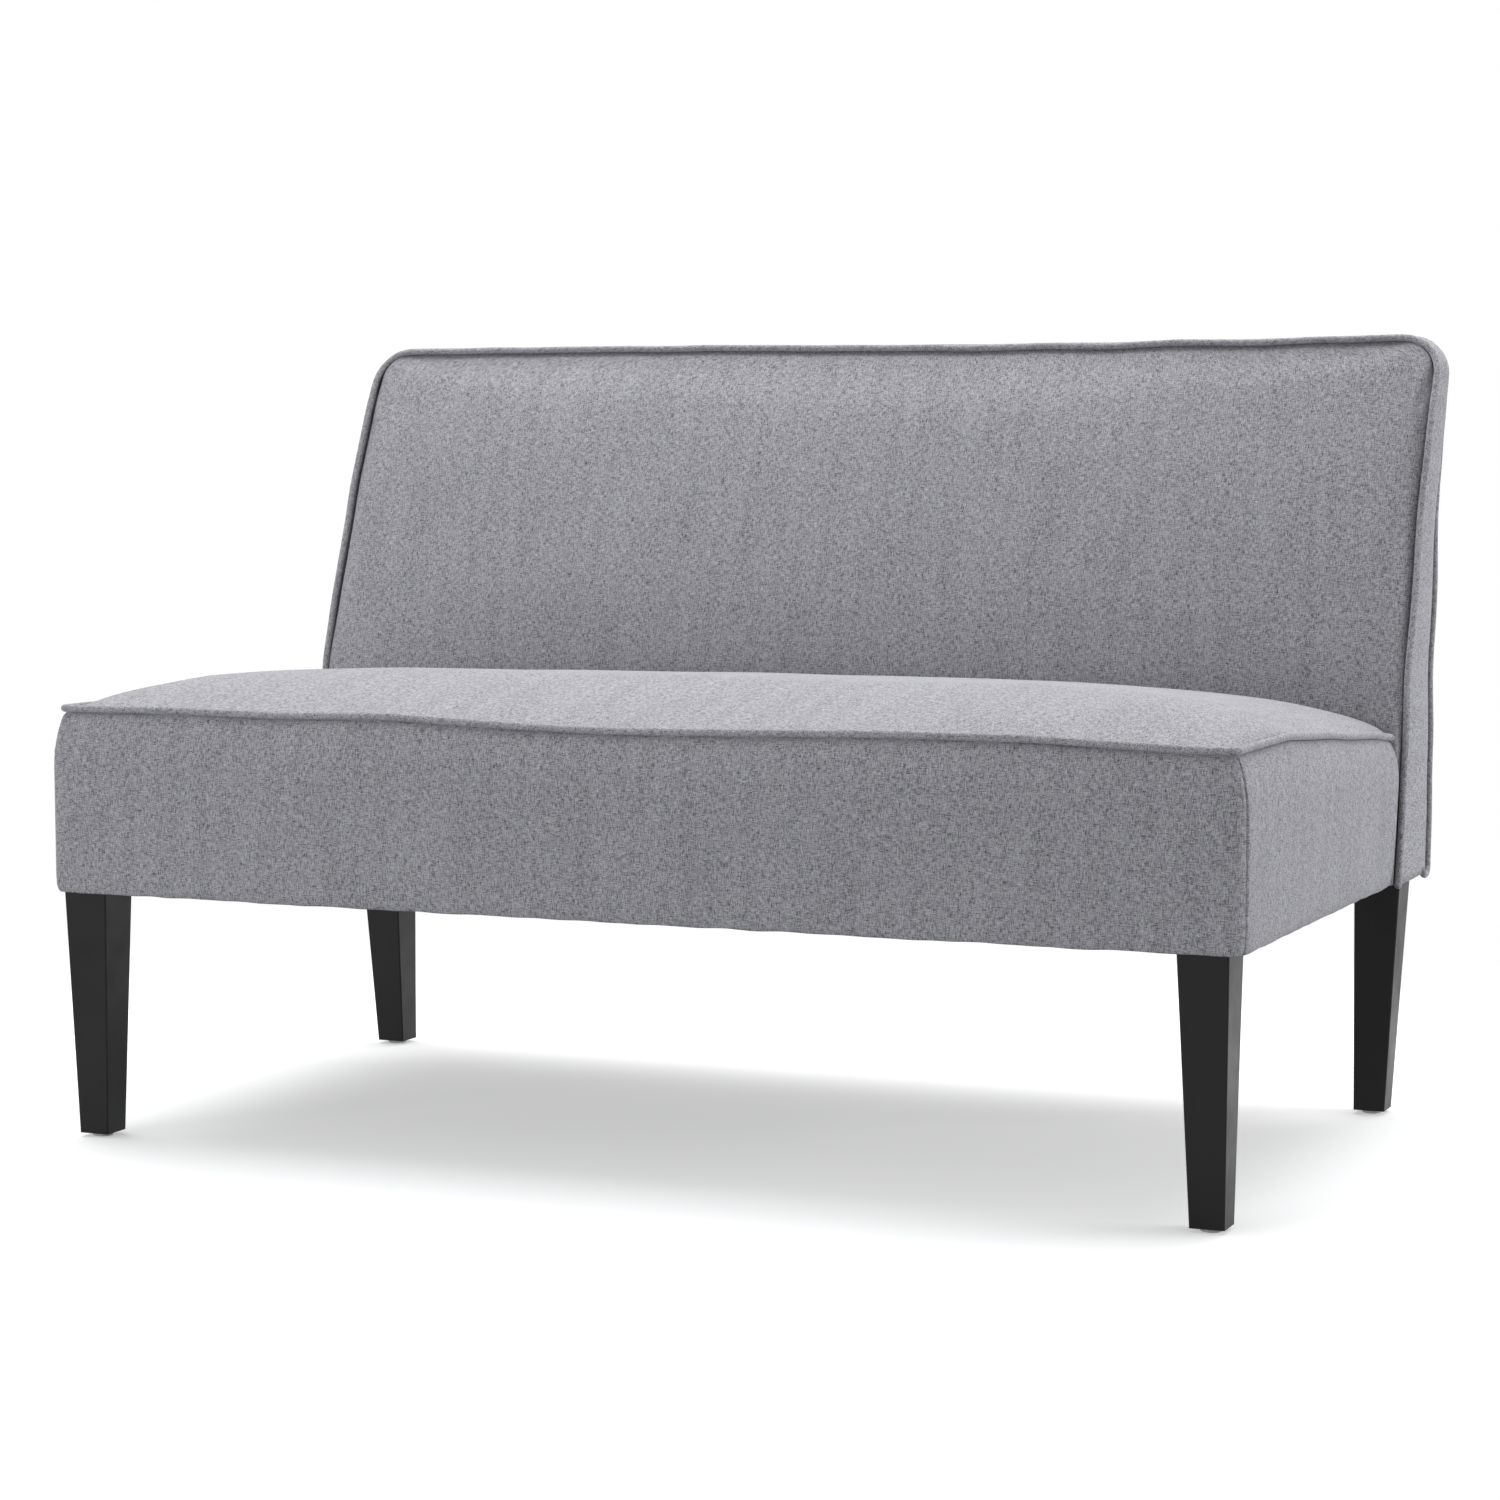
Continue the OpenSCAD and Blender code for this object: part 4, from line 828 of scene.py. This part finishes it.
# Dust covers. The same black cloth is stapled under the seat and under the back over the turned-under
# covers. It hangs a little between the rails, puckers at its staples, and is cut out round the leg bolts
staple_pitch = 45
staple_places = []
for name, node, rests_on, half_x, low_y, high_y, sag, bolt_x, bolt_y in (
        ("seat_underlay", "seat_dust_cover", ["seat_front_rail", "seat_rear_rail"],
         588, 9, 507.4, 2.4, 562.5, 25.5),
        ("back_underlay", "back_dust_cover", ["back_front_sill", "back_rear_sill"],
         600, 525.8, 660, 0.8, 574.3, 620.5)):
    across = np.linspace(half_x, -half_x, 197)
    under_x, under_y = np.meshgrid(across, np.linspace(low_y, high_y, round((high_y - low_y) / 6)))
    from_side = half_x - np.abs(under_x)
    from_end = np.minimum(under_y - low_y, high_y - under_y)
    hang = sag + 1.2 * ripples(under_x, under_y, 160, 120, 3.6)
    hang *= rise(np.minimum(from_end, from_side), 0, 60) ** 2
    pull = 0.5 * np.cos(under_x * math.tau / staple_pitch) * np.exp(-from_end / 14)
    pull += 0.5 * np.cos(under_y * math.tau / staple_pitch) * np.exp(-from_side / 14)
    under_z = 245.3 - np.maximum(0, hang) - 0.3 * np.clip(pull, 0, 1)
    under, under_cut = laid_grid(name, np.stack([under_x, under_y, under_z], axis=2))
    finish_cloth(under, nonwoven, thickness=0.6)
    for side in (-1, 1):
        bpy.ops.object.select_all(action="DESELECT")
        bpy.ops.mesh.primitive_cylinder_add(vertices=24, radius=0.0048, depth=0.02,
                                            location=settle([side * bolt_x, bolt_y, 245]))
        punch = bpy.context.object
        take(under)
        cut = under.modifiers.new("bolt hole", "BOOLEAN")
        cut.operation = "DIFFERENCE"
        cut.object = punch
        bpy.ops.object.modifier_apply(modifier="bolt hole")
        bpy.data.objects.remove(punch)
    stand_in(under, "black_lining", node)
    for y in (low_y + 6, high_y - 6):
        staple_places += [(x, y, 0) for x in np.linspace(-half_x + 24, half_x - 24, 26)]
    for x in (-half_x + 6, half_x - 6):
        staple_places += [(x, y, 90) for y in np.arange(low_y + 28, high_y - 20, staple_pitch)]


# Staples. Galvanised wire, bent square, 10 mm across the crown, and driven by a gun through both cloths and
# into the frame about 45 mm apart. None sits under a leg
def pick(piece, wanted):
    shape = bmesh.from_edit_mesh(piece.data)
    for face in shape.faces:
        face.select_set(wanted(face))
    bmesh.update_edit_mesh(piece.data)


staple_wire = bpy.data.materials["zinc-plated steel"].copy()
staple_wire.name = "galvanised staple wire"
bpy.ops.object.select_all(action="DESELECT")
bpy.ops.mesh.primitive_cube_add(size=1)
crown = bpy.context.object
bpy.ops.object.mode_set(mode="EDIT")
bpy.ops.transform.resize(value=(0.0088, 0.0009, 0.0005))
for way in (1, -1):
    pick(crown, lambda face: face.normal.x * way > 0.9)
    bpy.ops.mesh.extrude_region_move(TRANSFORM_OT_translate={"value": (0.0006 * way, 0, 0)})
pick(crown, lambda face: face.normal.z > 0.9 and abs(face.calc_center_median().x) > 0.0044)
bpy.ops.mesh.extrude_region_move(TRANSFORM_OT_translate={"value": (0, 0, 0.0012)})
bpy.ops.object.mode_set(mode="OBJECT")
leg_boxes = [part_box(f"{end}_{side}_leg") for end in ("front", "rear") for side in ("left", "right")]
leg_room = 0.008
staples = []
for x, y, turned in staple_places:
    at = Vector(settle([x, y, 244.7]))
    if any(low[0] - leg_room < at.x < high[0] + leg_room and low[1] - leg_room < at.y < high[1] + leg_room
           for low, high in leg_boxes):
        continue
    staple = crown.copy()
    staple.data = crown.data.copy()
    bpy.context.scene.collection.objects.link(staple)
    spin = math.radians(turned + 14 * noise.noise(Vector((x / 9, y / 9, 7.7))))
    staple.data.transform(Matrix.Translation(at) @ Matrix.Rotation(spin, 4, "Z"))
    staples.append(staple)
bpy.data.objects.remove(crown)
all_staples = join(staples, "underlay_staples")
all_staples.data.materials.clear()
all_staples.data.materials.append(staple_wire)
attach(all_staples, "root")

# Legs. Solid rubberwood, tapered and square, sprayed with black lacquer. The satin film is smooth over
# close grain, with lines 1 mm wide and 35 mm long, and softly reflects the studio
lacquer, tree, shader = new_finish("black satin lacquer on rubberwood")
place = add(tree, "TexCoord").outputs["Object"]
grain_way = add(tree, "Mapping", {"Vector": place, "Scale": (900, 900, 28)})
grain = add(tree, "TexNoise", {"Vector": grain_way, "Scale": 1, "Detail": 4})
cloudy = add(tree, "TexNoise", {"Vector": place, "Scale": 30, "Detail": 2})
blacks = add(tree, "Mix", {0: grain, 6: colour("#08080a"), 7: colour("#101012")}, data_type="RGBA")
gloss = add(tree, "MapRange", {0: cloudy, 1: 0.3, 2: 0.7, 3: 0.34, 4: 0.44})
film = add(tree, "Bump", {"Height": grain, "Strength": 0.12, "Distance": 0.0002})
plug(tree, shader, {"Base Color": blacks, "Roughness": gloss, "Normal": film, "Specular IOR Level": 0.2})
dress(("front_left_leg", "front_right_leg", "rear_left_leg", "rear_right_leg"), lacquer)

# Glides. Moulded polyethylene discs, one nailed under each leg to spare the floor. They are pale and waxy,
# with fine scuffs 1 to 2 mm across
glide_plastic, tree, shader = new_finish("moulded polyethylene")
place = add(tree, "TexCoord").outputs["Object"]
scuff = add(tree, "TexNoise", {"Vector": place, "Scale": 600, "Detail": 3})
pale = add(tree, "Mix", {0: scuff, 6: colour("#b9b9b4"), 7: colour("#d2d2cd")}, data_type="RGBA")
plug(tree, shader, {"Base Color": pale, "Roughness": 0.5, "Subsurface Weight": 0.1})
dress(("front_left_glide", "front_right_glide", "rear_left_glide", "rear_right_glide"), glide_plastic)


# Floor and backdrop. A white paper floor that keeps the settee's shadow and turns plain white further out.
# Only what the camera or a reflection sees is whitened, so no more light reaches the settee
def seen_rays(tree):
    """1 for rays from the camera, a reflection or a clear surface, and 0 for light on its way to a piece"""
    rays = add(tree, "LightPath").outputs
    seen = add(tree, "Math", {0: rays["Is Camera Ray"], 1: rays["Is Glossy Ray"]}, operation="MAXIMUM")
    return add(tree, "Math", {0: seen, 1: rays["Is Transmission Ray"]}, operation="MAXIMUM")


bpy.ops.object.select_all(action="DESELECT")
bpy.ops.mesh.primitive_plane_add(size=60, location=(0, 0, 0))
floor = bpy.context.object
floor.name = "studio_floor"
paper, tree, shader = new_finish("white paper sweep")
place = add(tree, "TexCoord").outputs["Object"]
squeezed = add(tree, "Mapping", {"Vector": place, "Scale": (1, 1.3, 1)})
distance = add(tree, "VectorMath", {0: squeezed}, operation="LENGTH")
fade = add(tree, "MapRange", {0: distance, 1: 0.85, 2: 1.9}, interpolation_type="SMOOTHSTEP")
seen = seen_rays(tree)
near = add(tree, "Math", {0: 1, 1: fade}, operation="SUBTRACT")
whitened = add(tree, "Math", {0: fade, 1: 0.61, 2: 0.39}, operation="MULTIPLY_ADD")
glow = add(tree, "Math", {0: whitened, 1: seen}, operation="MULTIPLY")
shown = add(tree, "Mix", {0: near, 6: colour("#000000"), 7: colour("#e6e7e8")}, data_type="RGBA")
tint = add(tree, "Mix", {0: seen, 6: colour("#b4b5b7"), 7: shown}, data_type="RGBA")
plug(tree, shader, {"Base Color": tint, "Emission Strength": glow, "Emission Color": colour("#ffffff"),
                    "Roughness": 1, "Specular IOR Level": 0})
floor.data.materials.append(paper)

# Studio light. A wide soft box above and a little behind, one far to the right, a weaker one at the front
# left, and an even dim room. The room is white to the camera and in reflections
world = bpy.data.worlds.new("studio")
bpy.context.scene.world = world
world.use_nodes = True
tree = world.node_tree
tree.nodes.clear()
room = add(tree, "Mix", {0: seen_rays(tree), 6: (0.4, 0.4, 0.4, 1), 7: (1, 1, 1, 1)}, data_type="RGBA")
sky = add(tree, "Background", {0: room, 1: 1})
add(tree, "OutputWorld", {0: sky})
for name, place, aim, size, power in (
        ("overhead_box", (-0.25, 0.65, 2.9), (0, 0.1, 0.4), (4.2, 2.4), 127),
        ("right_box", (3.4, 0.9, 0.85), (0.5, 0, 0.4), (1.8, 1.6), 55),
        ("front_box", (-1.6, -3.4, 0.9), (0, 0, 0.4), (2.2, 1.4), 46)):
    bpy.ops.object.light_add(type="AREA", location=place)
    lamp = bpy.context.object
    lamp.name = name
    lamp.rotation_euler = (Vector(aim) - Vector(place)).to_track_quat("-Z", "Y").to_euler()
    lamp.data.shape = "RECTANGLE"
    lamp.data.size, lamp.data.size_y = size
    lamp.data.energy = power
bpy.context.scene.view_settings.view_transform = "Standard"
